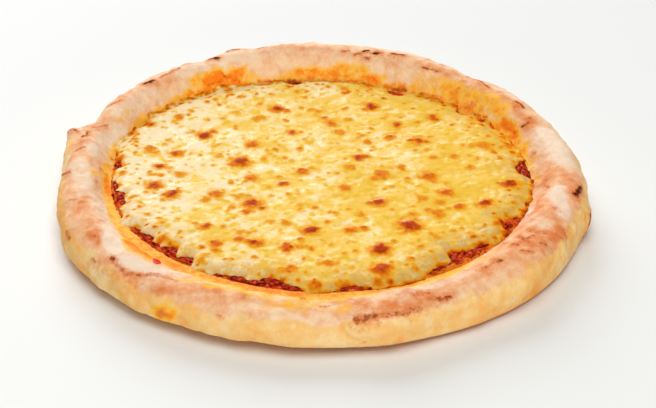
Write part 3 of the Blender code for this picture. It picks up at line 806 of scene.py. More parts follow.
class PIZZA_OT_crust(bpy.types.Operator):
    """Bakes the crust: puffs, blisters and creases in its rim, and its browned and stained skin"""

    bl_idname = "pizza.crust"
    bl_label = "Crust"

    def execute(self, context):
        look = context.scene.pizza_crust
        tree = smooth_surface("crust", 2)
        directions = even_section(tree, look.along)
        turns = bearings_of(look.around)
        skin = [np.array([rim_hit(tree, turn, angle) for turn in turns]) for angle in directions]
        under = list(closing_rings(skin[0], 0.0, (0.97, 0.88, 0.7, 0.48, 0.26)))
        floor = closing_rings(skin[-1], skin[-1][:, 2].mean(), (0.98, 0.88, 0.7, 0.48, 0.26))
        mesh = closed_mesh("crust", [*reversed(under), *skin, *floor])
        self.raise_relief(mesh, tree, look)
        add_piece("baked_crust", mesh, crust_finish(look), "crust")
        return {"FINISHED"}

    def raise_relief(self, mesh, tree, look):
        """Gives the skin its relief, and keeps where it is browned, stained and floury."""
        points, normals = corners_of(mesh), corners_of(mesh, "normal")
        turn, radius = turn_and_radius(points)
        height = points[:, 2]
        wobbly = ragged(points, 7 * MM, 1.5 * MM, 1)
        torn = ragged(points, 2.6 * MM, 0.5 * MM, 5)
        heat = mark_field(tree, torn, SCORCHES, 0.2, 1.35)
        heat = np.maximum(heat, 0.42 * mark_field(tree, wobbly, SCORCHES, 0.5, 3.4))
        stain = mark_field(tree, wobbly, STAINS, 0.2, 2.2)
        blush = mark_field(tree, wobbly, BLUSHES, 0.4, 1.9)
        blush = blush + around(PINK_TOP, turn)
        floury = mark_field(tree, wobbly, FLOURY, 0.4, 1.7)
        crease = mark_field(tree, ragged(points, 5 * MM, 0.8 * MM, 9), CREASES, 0.0, 2.0)
        drops = mark_field(tree, torn, DROPS, 0.6, 1.3)
        smears = mark_field(tree, 0.5 * (wobbly + torn), SMEARS, 0.0, 2.0)

        inside = radius < RIM_CORE_RADIUS
        free = smooth(height, 1.0 * MM, 6.0 * MM)
        free *= np.where(inside, smooth(height, PLAIN_UP_TO, UNEVEN_PAST), 1.0)
        bubbles, tips = bubble_relief(points, normals, look)
        puffs = look.puffs * grain(points, 14 * MM, 21)
        relief = puffs + look.skin * grain(points, 5 * MM, 22)
        relief += look.pores * grain(points, 2 * MM, 23)
        relief += bubbles
        relief += 0.5 * MM * heat + 0.5 * MM * drops
        relief -= 1.0 * MM * crease
        lifted = around(RIM_LIFTED, turn) * (1.0 - smooth(height, 0.0, 7.0 * MM)) * ~inside
        tucked = look.tuck * lifted * smooth(radius, 120 * MM, 142 * MM) / radius
        shrink = tucked[:, None] * (points - MIDDLE)
        shrink[:, 2] = -look.gap * np.sqrt(np.clip(lifted, 0.0, 1.0))
        shrink[:, 2] *= smooth(radius, 124 * MM, 138 * MM)
        corner = mark_field(tree, points, CORNER, 0.0, 2.2)[:, None] * np.array(CORNER_PULL)
        foot = (radius - around(sauce_rim(look.around), turn)) / MM
        filled = smooth(foot, -9.0, -3.5) * (1.0 - smooth(foot, -2.0, 2.5)) * inside
        corner[:, 2] += 0.55 * MM * around(DRAWN_BACK, turn) * filled
        move_corners(mesh, points - shrink + corner + normals * (relief * free)[:, None])

        loft = 0.5 + 0.5 * np.clip((relief - puffs) / (0.6 * MM), -1.0, 1.0)
        crown = smooth(normals[:, 2] + 0.16 * grain(points, 8 * MM, 31), 0.5, 0.85)
        crown = np.where(inside, np.maximum(crown, smooth(height, 17 * MM, 20 * MM)), crown)
        climb = (height - SAUCE_LINE) / (MM * around(STAIN_HEIGHT, turn))
        climb = climb + 0.42 * grain(points, 9 * MM, 35) + 0.26 * grain(points, 4 * MM, 36)
        shore = around(STAIN_STRENGTH, turn) * (1.0 - smooth(climb, 0.1, 1.35))
        keep(
            mesh,
            crown=crown,
            loft=loft,
            scorch=np.maximum(heat, tips),
            stain=np.where(inside, np.maximum(stain, shore), stain * 0.8),
            blush=blush,
            tanned=around(TANNED, turn),
            floury=floury,
            drops=drops,
            smears=smears,
            under=1.0 - smooth(height, 0.4 * MM, 4.0 * MM),
        )


def crust_finish(look):
    """Baked dough: golden walls, a peach, pink and floury top, orange stains, and scorched spots."""
    finish = Finish("baked_dough")
    fine, small = finish.grain(0.8 * MM), finish.grain(2.4 * MM)
    patchy = finish.grain(7 * MM, 7.0, 0.68) - 0.5
    dusty = finish.grain(4.5 * MM, 8.0, 0.75) - 0.5
    broad = finish.grain(30 * MM, 3.0) - 0.5
    flecks = finish.cells(2.0 * MM)
    crown, loft = finish.field("crown"), finish.field("loft") - 0.5

    tanned = 0.44 + 0.9 * patchy + 1.4 * broad - 0.3 * loft + 0.45 * finish.field("tanned")
    wall = finish.ramp(tanned, (0.2, look.pale_wall), (0.5, look.wall), (0.9, look.tan))
    blush = 0.3 + 0.55 * finish.field("blush") + 0.35 * loft + 1.3 * patchy
    top = finish.ramp(
        blush, (0.1, look.pale_top), (0.35, look.peach), (0.7, look.blush), (1.0, look.toasted)
    )
    tint = finish.mix((crown + 0.8 * patchy).rise(0.1, 0.9), wall, top)
    floury = (finish.field("floury") * 0.85 + crown * 0.1 + 1.5 * dusty).rise(0.1, 1.0)
    tint = finish.mix(floury * 0.9, tint, look.flour)
    tint = finish.mix(finish.field("under") * (0.5 + small), tint, look.toasted)

    uneven = 0.6 * (small - 0.5) + 1.2 * patchy - 0.3 * floury
    stain = finish.field("stain").broken_up(0.02, 0.3, uneven).limited()
    tint = finish.mix(stain.rise(0.05, 0.62) * 0.9, tint, look.stain)
    tint = finish.mix(stain.rise(0.5, 0.98) * 0.85, tint, look.deep_stain)

    uneven = 0.9 * (small - 0.5) + 0.4 * (fine - 0.5)
    smears = finish.field("smears").broken_up(0.03, 0.3, uneven)
    tint = finish.mix(smears.rise(0.15, 0.5) * 0.6, tint, look.deep_stain)
    tint = finish.mix(smears.rise(0.4, 0.85) * 0.85, tint, look.smear)

    uneven = 0.8 * (small - 0.5) + 0.45 * (fine - 0.5) + 0.2 * (0.5 - flecks)
    scorch = finish.field("scorch").broken_up(0.03, 0.3, uneven)
    scorch = scorch + 0.2 * (0.3 - flecks).rise(0.0, 0.2) * (loft + 2 * patchy).rise(0.1, 0.6) * crown
    tint = finish.mix(scorch.rise(0.08, 0.46) * 0.75, tint, look.toasted)
    tint = finish.mix(scorch.rise(0.42, 0.72) * 0.9, tint, look.brown)
    tint = finish.mix(scorch.rise(0.7, 0.92) * 0.95, tint, look.scorch)
    tint = finish.mix(finish.field("drops").rise(0.3, 0.6), tint, look.drop)

    skin = finish.height(finish.grain(0.6 * MM, 4.0), 0.16 * MM)
    skin = finish.height(finish.grain(2.6 * MM, 4.0), 0.8 * MM, 0.9, skin)
    rough = 0.76 + 0.1 * floury - 0.34 * stain - 0.4 * finish.field("drops") + 0.2 * (fine - 0.5)
    return finish.set(
        Base_Color=tint, Roughness=rough.limited(), Normal=skin, Subsurface_Weight=0.06,
        Subsurface_Scale=1.2 * MM, Subsurface_Radius=(1.0, 0.5, 0.25), Specular_IOR_Level=0.04,
    )


# Sauce


def sauce_rim(count):
    """The radius of the sauce's rim at bearings, found by looking inwards from outside it."""
    tree = smooth_surface("sauce", 0)
    level = (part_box("sauce")[0].z + SAUCE_RIM_HEIGHT) * UP
    radii = []
    for turn in bearings_of(count):
        start = MIDDLE + OUTSIDE_SAUCE * outwards(turn) + level
        radii.append(OUTSIDE_SAUCE - tree.ray_cast(start, -outwards(turn))[3])
    return np.array(radii)


def torn_edge(rim):
    """The cheese's edge: tongues and bays of melted shreds, over most of the sauce."""
    places = ring(rim, 0.0)
    turn = bearings_of(len(rim))
    wavy = np.degrees(turn) + 0.8 * grain(places, 5 * MM, 64)
    bay = np.zeros(len(rim))
    for start, end, depth in BAYS:
        along = np.mod(wavy - start + 30.0, 360.0) - 30.0
        shape = np.clip(along * (end - start - along) * (2.0 / (end - start)) ** 2, 0.0, 1.0) ** 0.6
        bay = np.maximum(bay, depth * shape)
    torn = 0.9 * grain(places, 7 * MM, 61) + 0.5 * grain(places, 2.8 * MM, 62)
    torn += 0.3 * grain(places, 1.2 * MM, 63)
    return rim + MM * (around(EDGE_OVER, turn) - bay + torn)


class PIZZA_OT_sauce(bpy.types.Operator):
    """Spreads the tomato sauce, which shows round the cheese"""

    bl_idname = "pizza.sauce"
    bl_label = "Sauce"

    def execute(self, context):
        look = context.scene.pizza_sauce
        crust_tree = surface_of("baked_crust")
        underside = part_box("sauce")[0].z
        level = underside + SAUCE_TOP_HEIGHT
        rim = sauce_rim(look.around)
        edge = rim - MM * around(DRAWN_BACK, bearings_of(look.around))
        edge = edge + 0.5 * MM * grain(ring(rim, level), 4 * MM, 51)
        edge = edge + 0.35 * MM * grain(ring(rim, level), 1.5 * MM, 52)
        hidden = rim - 17 * MM
        under = list(closing_rings(ring(hidden, underside), underside, DISC_RINGS))
        rings = [*reversed(under), ring(hidden, underside), ring(rim - 5 * MM, underside)]
        for k in range(look.bands):
            inwards = (k / (look.bands - 1)) ** 1.4
            rings.append(ring(edge + (hidden - edge) * inwards, level))
        rings += closing_rings(ring(hidden, level), level, DISC_RINGS)
        mesh = closed_mesh("sauce", rings)
        self.lay_on(mesh, crust_tree, edge, torn_edge(rim), level, look)
        add_piece("tomato_sauce", mesh, sauce_finish(look), "sauce")
        return {"FINISHED"}

    def lay_on(self, mesh, crust_tree, edge, covered, level, look):
        """Lets the sauce's top lie on the crust at its edge, and lumps and cooks it."""
        points = corners_of(mesh)
        turn, radius = turn_and_radius(points)
        inset = around(edge, turn) - radius
        top = points[:, 2] > level - 0.1 * MM
        shown = np.flatnonzero(top & (inset < 12 * MM))
        beneath = heights_below(crust_tree, points[shown])
        swelling = smooth(inset[shown], -0.2 * MM, 2.2 * MM)
        lump = grain(points[shown], 3.2 * MM, 53) + 0.5 * grain(points[shown], 1.4 * MM, 54)
        resting = np.maximum(level, beneath + 0.5 * MM)
        points[shown, 2] = beneath - 0.15 * MM + swelling * (resting - beneath + look.lumps * lump)
        move_corners(mesh, points)
        cooked = around(SAUCE_COOKED, turn) + 0.25 * grain(points, 9 * MM, 55)
        fringe = 1.0 - smooth(inset, 0.6 * MM, 4.5 * MM)
        oil = around(SAUCE_OIL, turn) * (0.5 + fringe) - 0.3 + 0.3 * grain(points, 4 * MM, 56)
        bare = smooth(radius - around(covered, turn), -0.8 * MM, 0.5 * MM)
        bare *= top * smooth(inset, 0.5 * MM, 1.5 * MM)
        keep(mesh, cooked=cooked, oil=oil, bare=bare)


def sauce_finish(look):
    """Cooked tomato: wet, with dark and fresh places and orange oil at its edge."""
    finish = Finish("cooked_tomato")
    fine, small = finish.grain(0.6 * MM), finish.grain(2.2 * MM)
    streaks = finish.streaks(1.3 * MM, 6 * MM)
    cooked = (finish.field("cooked") + (small - 0.5) * 0.8 + (streaks - 0.5) * 3.0 - 0.1).limited()
    oil = finish.field("oil") + (small - 0.5) * 0.5 + (finish.streaks(1.8 * MM, 9 * MM) - 0.5) * 1.2
    oil = oil.rise(0.25, 0.8)
    tint = finish.mix(cooked, look.fresh, look.cooked)
    tint = finish.mix(oil * 0.85, tint, look.oil)
    tint = finish.mix(fine.rise(0.58, 0.72) * 0.4, tint, look.fresh)
    wet = finish.height(fine, 0.3 * MM, 0.8, finish.height(small, 0.5 * MM, 0.8))
    rough = 0.26 + 0.5 * (small - 0.3).limited()
    return finish.set(
        Base_Color=tint, Roughness=rough, Normal=wet, Specular_IOR_Level=0.0,
        Coat_Weight=0.45 * finish.grain(1.8 * MM).rise(0.56, 0.66), Coat_Roughness=0.12,
    )


# Cheese


class Tray:
    """A square of fields over the cheese, with a value for each cell, which are read at any point."""

    CELL = 0.4 * MM
    COUNT = 640

    def __init__(self, seed):
        self.rng = np.random.default_rng(seed)
        half = 0.5 * self.CELL * self.COUNT
        self.low = np.array((MIDDLE.x - half, MIDDLE.y - half))
        along = self.low[:, None] + self.CELL * (np.arange(self.COUNT) + 0.5)
        self.x, self.y = along[0][None, :], along[1][:, None]
        waves_y = np.fft.fftfreq(self.COUNT, self.CELL)[:, None]
        waves_x = np.fft.rfftfreq(self.COUNT, self.CELL)[None, :]
        self.waves = waves_x**2 + waves_y**2

    def even(self, value=0.0):
        return np.full((self.COUNT, self.COUNT), value)

    def blurred(self, field, width):
        """The field as it is after it has run together over a width."""
        kept = np.exp(-2.0 * (math.pi * width) ** 2 * self.waves)
        return np.fft.irfft2(np.fft.rfft2(field) * kept, field.shape)

    def clouds(self, width):
        """Smooth noise about from -1 to 1 whose lumps are about a width across."""
        field = self.blurred(self.rng.standard_normal((self.COUNT, self.COUNT)), 0.28 * width)
        return field / (2.0 * field.std())

    def window(self, x, y, reach):
        """The slices of rows and columns within reach of a point."""
        first = ((np.array((x, y)) - reach - self.low) / self.CELL).astype(int).clip(0, self.COUNT - 1)
        last = ((np.array((x, y)) + reach - self.low) / self.CELL).astype(int).clip(1, self.COUNT) + 1
        return slice(first[1], last[1]), slice(first[0], last[0])

    def read(self, field, points):
        """The field's value at points, between its cells."""
        place = (points[:, :2] - self.low) / self.CELL - 0.5
        first = np.floor(place).astype(int).clip(0, self.COUNT - 2)
        tx, ty = np.clip(place - first, 0.0, 1.0).T
        column, row = first.T
        near = field[row, column] * (1 - tx) + field[row, column + 1] * tx
        far = field[row + 1, column] * (1 - tx) + field[row + 1, column + 1] * tx
        return near * (1 - ty) + far * ty


def melted_shreds(tray, look):
    """The height and the kind of cheese of the shreds that lie on top of the others, run together."""
    height, kind = tray.even(), tray.even(0.5)
    spread = 0.5 * tray.CELL * tray.COUNT
    rng = tray.rng
    for _ in range(look.shreds):
        x, y = rng.uniform(-spread, spread, 2) + (MIDDLE.x, MIDDLE.y)
        half_length = look.shred_length * rng.uniform(0.18, 0.5)
        half_width = look.shred_width * rng.uniform(0.25, 0.5)
        turn, bend = rng.normal(0.45, 0.55), rng.normal(0.0, 12.0)
        own_kind = rng.choice((0.2, 0.36, 0.58), p=(0.33, 0.39, 0.28))
        rows, columns = tray.window(x, y, half_length + 3 * half_width)
        across, up = tray.x[:, columns] - x, tray.y[rows] - y
        u = across * math.cos(turn) + up * math.sin(turn)
        v = up * math.cos(turn) - across * math.sin(turn) + bend * u**2
        away = np.hypot(np.maximum(np.abs(u) - half_length, 0.0), v) / half_width
        own = rng.uniform(0.0, 0.6) + np.sqrt(np.clip(1.0 - away**2, 0.0, 1.0))
        higher = (away < 1.0) & (own > height[rows, columns])
        height[rows, columns][higher] = own[higher]
        kind[rows, columns][higher] = own_kind
    height = tray.blurred(height, look.melt)
    return look.shred_height * (height - height.mean()), tray.blurred(kind, 1.3 * look.melt)


def raise_blister(tray, fields, x, y, radius, dark):
    """One blister: a low uneven dome, browned in its middle with a golden halo."""
    height, browning, warp_x, warp_y = fields
    window = tray.window(x, y, 2.6 * radius)
    rows, columns = window
    away = np.hypot(
        tray.x[:, columns] - x + warp_x[window] * (0.3 + 0.13 * radius / MM) * MM,
        tray.y[rows] - y + warp_y[window] * (0.3 + 0.13 * radius / MM) * MM,
    ) / radius
    dome = np.clip(1.0 - away**2, 0.0, 1.0) ** 0.8
    height[window] += (0.05 + 0.1 * dark) * radius * dome
    core = dark**1.2 * (1.0 - smooth(away, 0.35, 1.3))
    halo = 0.5 * dark * (1.0 - smooth(away, 0.7, 2.3))
    browning[window] = np.maximum(browning[window], np.maximum(core, halo))


def away_from_middle(turn, out):
    """The x and y of a place at a bearing and a distance from the middle."""
    return MIDDLE.x + out * math.cos(turn), MIDDLE.y + out * math.sin(turn)


def cheese_fields(look, rim):
    """Fields over the cheese: its relief, its kind, how browned it is and how oily."""
    tray = Tray(CHEESE_SEED)
    height, kind = melted_shreds(tray, look)
    warp_x = tray.clouds(5 * MM) + 0.5 * tray.clouds(2 * MM)
    warp_y = tray.clouds(5 * MM) + 0.5 * tray.clouds(2 * MM)
    browning = tray.even()
    fields = (height, browning, warp_x, warp_y)
    for x, y, radius, dark in BLISTERS:
        spot = spot_on_level(x, y, CHEESE_TOP)
        raise_blister(tray, fields, spot.x, spot.y, radius * MM, dark)
    for bearing, inset, radius, dark in EDGE_SPOTS:
        turn = math.radians(bearing)
        x, y = away_from_middle(turn, around(rim, turn) - inset * MM)
        raise_blister(tray, fields, x, y, radius * MM, dark)
    for _ in range(look.specks):
        turn, out = tray.rng.uniform(0.0, math.tau), math.sqrt(tray.rng.uniform(0.0, 1.0))
        x, y = CHEESE_RADIUS * out * math.cos(turn), CHEESE_RADIUS * out * math.sin(turn)
        radius = tray.rng.uniform(1.0, 2.8) * MM
        raise_blister(tray, fields, x, y, radius, tray.rng.uniform(0.18, 0.48))
    for _ in range(look.bits):
        turn = tray.rng.uniform(0.0, math.tau)
        out = around(rim, turn) - 20 * MM * tray.rng.uniform(0.0, 1.0) ** 1.5
        x, y = away_from_middle(turn, out)
        radius = tray.rng.uniform(0.7, 1.8) * MM
        raise_blister(tray, fields, x, y, radius, tray.rng.uniform(0.25, 0.75))
    texture = tray.clouds(1.5 * MM)
    browning *= 1.0 + 0.22 * tray.clouds(2.2 * MM) + 0.12 * texture
    browning += 0.16 * smooth(height / look.shred_height + 0.5 * tray.clouds(9 * MM), 0.2, 1.1)
    crackle = (0.04 * MM + 0.1 * MM * smooth(browning, 0.3, 0.7)) * texture
    height += 0.12 * MM * tray.clouds(3 * MM) + crackle
    height += 0.2 * MM * tray.clouds(16 * MM)
    warmer_to_right = (0.26 * (tray.x - MIDDLE.x) + 0.02 * (tray.y - MIDDLE.y)) / CHEESE_RADIUS
    warmer_to_right = 0.07 + warmer_to_right - 0.26 * smooth(MIDDLE.x - tray.x, 30 * MM, 105 * MM)
    kind += warmer_to_right - 0.01 + 0.2 * tray.clouds(22 * MM) + 0.12 * tray.clouds(5 * MM)
    kind += 0.6 * smooth(tray.clouds(4.2 * MM), 0.42, 0.8)
    oil = 0.45 + 0.35 * tray.clouds(7 * MM) + 0.25 * tray.clouds(2.5 * MM)
    oil -= 0.5 * height / look.shred_height
    return tray, height, kind, browning, oil


class PIZZA_OT_cheese(bpy.types.Operator):
    """Melts the cheese: run-together shreds of three kinds, with browned blisters"""

    bl_idname = "pizza.cheese"
    bl_label = "Cheese"

    def execute(self, context):
        look = context.scene.pizza_cheese
        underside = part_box("cheese")[0].z
        trees = (smooth_surface("cheese", 1), surface_of("tomato_sauce"), surface_of("baked_crust"))
        rim = sauce_rim(look.around)
        edge = torn_edge(rim)
        mesh = closed_mesh("cheese", self.rings(edge, underside, look))
        self.melt(mesh, trees, edge, underside, cheese_fields(look, rim))
        add_piece("melted_cheese", mesh, cheese_finish(look), "cheese")
        return {"FINISHED"}

    def rings(self, edge, underside, look):
        """The sheet's rings, of which the small ones have fewer corners."""
        tucked = ring(edge - 1.6 * MM, underside)
        under = list(closing_rings(tucked, underside, (0.96, 0.8, 0.6, 0.4, 0.2)))
        rings = [*reversed(under), tucked, ring(edge - 0.5 * MM, underside)]
        rings += [ring(edge - inset * MM, underside + 1 * MM) for inset in (0.0, 0.12, 0.4)]
        radius, count = edge, look.around
        widest = edge.mean()
        steps = int(widest / look.spacing)
        for step in range(1, steps - 3):
            part = 1.0 - step / steps
            while count > FEWEST_CORNERS and part * widest * math.tau / count < LEAST_GAP * look.spacing:
                count //= 2
                radius = radius[::2]
            rings.append(ring(radius * part, underside + 1 * MM))
        return rings

    def melt(self, mesh, trees, edge, underside, fields):
        """Gives the sheet its relief and its rounded edge, and keeps its fields on its corners."""
        tray, height, kind, browning, oil = fields
        points = corners_of(mesh)
        relief, oiled = tray.read(height, points), tray.read(oil, points)
        turn, radius = turn_and_radius(points)
        inset = around(edge, turn) - radius
        top = points[:, 2] > underside + 0.6 * MM
        plain = heights_below(trees[0], points)
        plain = np.where(np.isnan(plain), underside + 0.9 * MM, plain)
        rounding = np.clip(1.0 - (1.0 - np.clip(inset / (9 * MM), 0.0, 1.0)) ** 2, 0.0, 1.0) ** 0.66
        thickness = np.maximum(plain - underside, 1.3 * MM) + relief * (0.4 + 0.6 * rounding)
        full = underside + np.maximum(thickness, 0.5 * MM) * rounding
        near = np.flatnonzero(top & (inset < 10 * MM))
        beneath = np.fmax(*(heights_below(tree, points[near]) for tree in trees[1:]))
        laid = beneath - 0.1 * MM + (0.9 * MM + 0.5 * relief[near]) * rounding[near]
        sunk = np.minimum(beneath - 0.1 * MM - underside, 0.0) * (1.0 - rounding[near])
        full[near] = np.maximum(full[near] + sunk, laid)
        points[:, 2] = np.where(top, full, points[:, 2])
        move_corners(mesh, points)
        toasted = around(EDGE_TOASTED, turn) - 0.05 + 0.5 * grain(points, 7 * MM, 65)
        toasted += 0.3 * grain(points, 2.5 * MM, 66)
        toasted *= 1.0 - smooth(inset, 0.3 * MM, 4.0 * MM)
        # Thin cheese and painted shade: the edge is darkened most at the front and right, where it
        # slopes away from the light.
        dull = around(EDGE_DULL_AND_SHADE, turn) * (1.0 - smooth(inset, 3 * MM, 24 * MM))
        keep(
            mesh,
            kind=tray.read(kind, points),
            browning=np.maximum(tray.read(browning, points), toasted),
            oil=oiled,
            dull=dull * (1.0 + 0.9 * grain(points, 4 * MM, 67)),
            sweat=top * smooth(oiled, 0.6, 1.0) * smooth(inset, 2 * MM, 5 * MM),
        )


def cheese_finish(look):
    """Melted cheese: cream, butter and gold run together, glossy with oil, browned on its blisters."""
    finish = Finish("melted_cheese")
    fine, small, broad = finish.grain(0.6 * MM), finish.grain(2.0 * MM), finish.grain(6.0 * MM)
    tiny = finish.grain(1.1 * MM)
    kind = finish.field("kind") + (small - 0.5) * 0.5 + (tiny - 0.5) * 0.3 + (broad - 0.5) * 0.3
    uneven = 0.35 * (fine - 0.5) + 0.5 * (small - 0.5)
    browning = finish.field("browning").broken_up(0.1, 0.5, uneven).limited()
    tint = finish.ramp(
        kind.limited(), (0.0, look.milk), (0.2, look.cream), (0.5, look.butter), (0.95, look.gold)
    )
    crisp = finish.ramp(
        browning, (0.1, look.gold), (0.36, look.toasted), (0.64, look.browned), (0.95, look.scorched)
    )
    # The dull, darker edge: thin cheese, partly painted shade.
    dull = finish.field("dull") * (0.75 + 1.6 * (small - 0.5))
    tint = finish.mix(dull.limited(), tint, look.dull)
    tint = finish.mix(browning.rise(0.06, 0.38), tint, crisp)
    oil = finish.field("oil").limited()
    rough = 0.5 - 0.2 * oil.rise(0.3, 0.8) - 0.06 * browning.rise(0.3, 0.8) + 0.16 * (fine - 0.5)
    skin = finish.height(finish.grain(0.45 * MM), 0.08 * MM, 0.5)
    skin = finish.height(small, 0.3 * MM, 0.4, skin)
    return finish.set(
        Base_Color=tint, Roughness=rough.limited(), Normal=skin,
        Coat_Weight=0.22 * oil.rise(0.5, 0.95) * (1.0 - browning.rise(0.3, 0.6)),
        Coat_Roughness=0.16, Subsurface_Weight=0.15, Subsurface_Scale=0.9 * MM,
        Subsurface_Radius=(1.0, 0.6, 0.2), Specular_IOR_Level=0.01,
    )


# Small things strewn over the pizza


class Strewing(Nodes):
    """Geometry Nodes that strew a shape over a surface, more thickly where a field is stronger."""

    INPUTS = {
        "Surface": "NodeSocketGeometry",
        "Density": "NodeSocketFloat",
        "Size": "NodeSocketFloat",
        "Finish": "NodeSocketMaterial",
    }

    def __init__(self, name, seed):
        super().__init__(bpy.data.node_groups.new(name, "GeometryNodeTree"))
        self.seed = seed
        self.given, self.sockets = {}, {}
        sockets = self.tree.interface
        for title, kind in self.INPUTS.items():
            self.sockets[title] = sockets.new_socket(title, in_out="INPUT", socket_type=kind)
        sockets.new_socket("Pieces", in_out="OUTPUT", socket_type="NodeSocketGeometry")
        for title in self.INPUTS:
            self.given[title] = self.add("NodeGroupInput", {}, {}, title)

    def random(self, low, high):
        """A number for each piece, between two numbers."""
        self.seed += 1
        inputs = {2: low, 3: high, 8: self.seed}
        return self.add("FunctionNodeRandomValue", {"data_type": "FLOAT"}, inputs, 1)

    def spread(self, field, shape, smallest, flatness, fields):
        """Strews the shape, down to a smallest share of its size, with a value for each field."""
        thick = self.add("GeometryNodeInputNamedAttribute", {"data_type": "FLOAT"}, {"Name": field})
        thick = thick * self.given["Density"]
        spots = self.add(
            "GeometryNodeDistributePointsOnFaces",
            {"distribute_method": "RANDOM"},
            {"Mesh": self.given["Surface"], "Density": thick, "Seed": self.seed},
        )
        turn = self.add("ShaderNodeCombineXYZ", {}, {"Z": self.random(0.0, math.tau)})
        turn = self.add("FunctionNodeEulerToRotation", {}, {0: turn})
        facing = self.add(
            "FunctionNodeRotateRotation",
            {"rotation_space": "LOCAL"},
            {"Rotation": spots.beside("Rotation"), "Rotate By": turn},
        )
        large = self.random(smallest, 1.0) * self.given["Size"]
        sides = {"X": large, "Y": large * self.random(0.7, 1.0), "Z": large * flatness}
        sides = self.add("ShaderNodeCombineXYZ", {}, sides)
        pieces = self.add(
            "GeometryNodeInstanceOnPoints",
            {},
            {"Points": spots, "Instance": shape, "Rotation": facing, "Scale": sides},
        )
        for name, (low, high) in fields.items():
            pieces = self.add(
                "GeometryNodeStoreNamedAttribute",
                {"data_type": "FLOAT", "domain": "INSTANCE"},
                {"Geometry": pieces, "Name": name, "Value": self.random(low, high)},
            )
        pieces = self.add("GeometryNodeRealizeInstances", {}, {"Geometry": pieces})
        pieces = self.add("GeometryNodeSetShadeSmooth", {}, {"Geometry": pieces})
        finished = {"Geometry": pieces, "Material": self.given["Finish"]}
        pieces = self.add("GeometryNodeSetMaterial", {}, finished)
        self.add("NodeGroupOutput", {}, {"Pieces": pieces})

    def grain_shape(self, subdivisions, lumpiness):
        """A ball one unit across, made lumpy."""
        sides = {"Radius": 0.5, "Subdivisions": subdivisions}
        ball = self.add("GeometryNodeMeshIcoSphere", {}, sides)
        push = self.add("ShaderNodeTexNoise", {}, {"Scale": 1.6}, "Color")
        for operation, inputs in (("SUBTRACT", {1: (0.5, 0.5, 0.5)}), ("SCALE", {"Scale": lumpiness})):
            push = self.add("ShaderNodeVectorMath", {"operation": operation}, {0: push, **inputs})
        return self.add("GeometryNodeSetPosition", {}, {"Geometry": ball, "Offset": push})

    def strew(self, carrier, material, density, largest, slot):
        """Runs the nodes over a piece's surface and makes the result a piece of its own."""
        strewn = linked(self.tree.name, bpy.data.objects[carrier].data)
        modifier = strewn.modifiers.new("Strew", "NODES")
        modifier.node_group = self.tree
        given = {"Density": float(density), "Size": largest, "Finish": material}
        for title, value in given.items():
            modifier[self.sockets[title].identifier] = value
        graph = bpy.context.evaluated_depsgraph_get()
        mesh = bpy.data.meshes.new_from_object(
            strewn.evaluated_get(graph), preserve_all_data_layers=True, depsgraph=graph
        )
        bpy.data.objects.remove(strewn)
        mesh.name = self.tree.name
        add_piece(self.tree.name, mesh, material)


def darker(tint, share):
    """A colour at a share of its brightness."""
    return tuple(share * value for value in tint)


def dry_flour(look):
    """Flour: dull and nearly white."""
    finish = Finish("dry_flour")
    warm = finish.grain(3 * MM)
    tint = finish.mix(warm.rise(0.4, 0.7) * 0.5, look.flour, darker(look.flour, 0.86))
    return finish.set(Base_Color=tint, Roughness=0.95, Specular_IOR_Level=0.05)


def cheese_fat(look):
    """Beads of clear yellow fat."""
    finish = Finish("cheese_fat")
    tint = finish.mix(finish.grain(4 * MM), look.oil, darker(look.oil, 0.8))
    return finish.set(Base_Color=tint, Roughness=0.2, Coat_Weight=0.8, Coat_Roughness=0.08)


class PIZZA_OT_flour(bpy.types.Operator):
    """Dusts the rim with grains of flour"""

    bl_idname = "pizza.flour"
    bl_label = "Flour"

    def execute(self, context):
        look = context.scene.pizza_trim
        nodes = Strewing("flour_grains", 100)
        nodes.spread("floury", nodes.grain_shape(1, 0.5), 0.4, 0.6, {})
        nodes.strew("baked_crust", dry_flour(look), look.flour_density, look.flour_size, "crust")
        return {"FINISHED"}


class PIZZA_OT_pulp(bpy.types.Operator):
    """Scatters tomato pulp over the bare sauce"""

    bl_idname = "pizza.pulp"
    bl_label = "Pulp"

    def execute(self, context):
        look = context.scene.pizza_trim
        nodes = Strewing("sauce_pulp", 200)
        fields = {"cooked": (0.1, 1.0), "oil": (0.0, 0.3)}
        nodes.spread("bare", nodes.grain_shape(2, 1.1), 0.35, 0.35, fields)
        tomato = bpy.data.materials["cooked_tomato"]
        nodes.strew("tomato_sauce", tomato, look.pulp_density, look.pulp_size, "sauce")
        return {"FINISHED"}


class PIZZA_OT_beads(bpy.types.Operator):
    """Sweats beads of fat out of the cheese"""

    bl_idname = "pizza.beads"
    bl_label = "Oil beads"

    def execute(self, context):
        look = context.scene.pizza_trim
        nodes = Strewing("oil_beads", 300)
        nodes.spread("sweat", nodes.grain_shape(2, 0.2), 0.4, 0.5, {})
        nodes.strew("melted_cheese", cheese_fat(look), look.bead_density, look.bead_size, "cheese")
        return {"FINISHED"}


# Stage


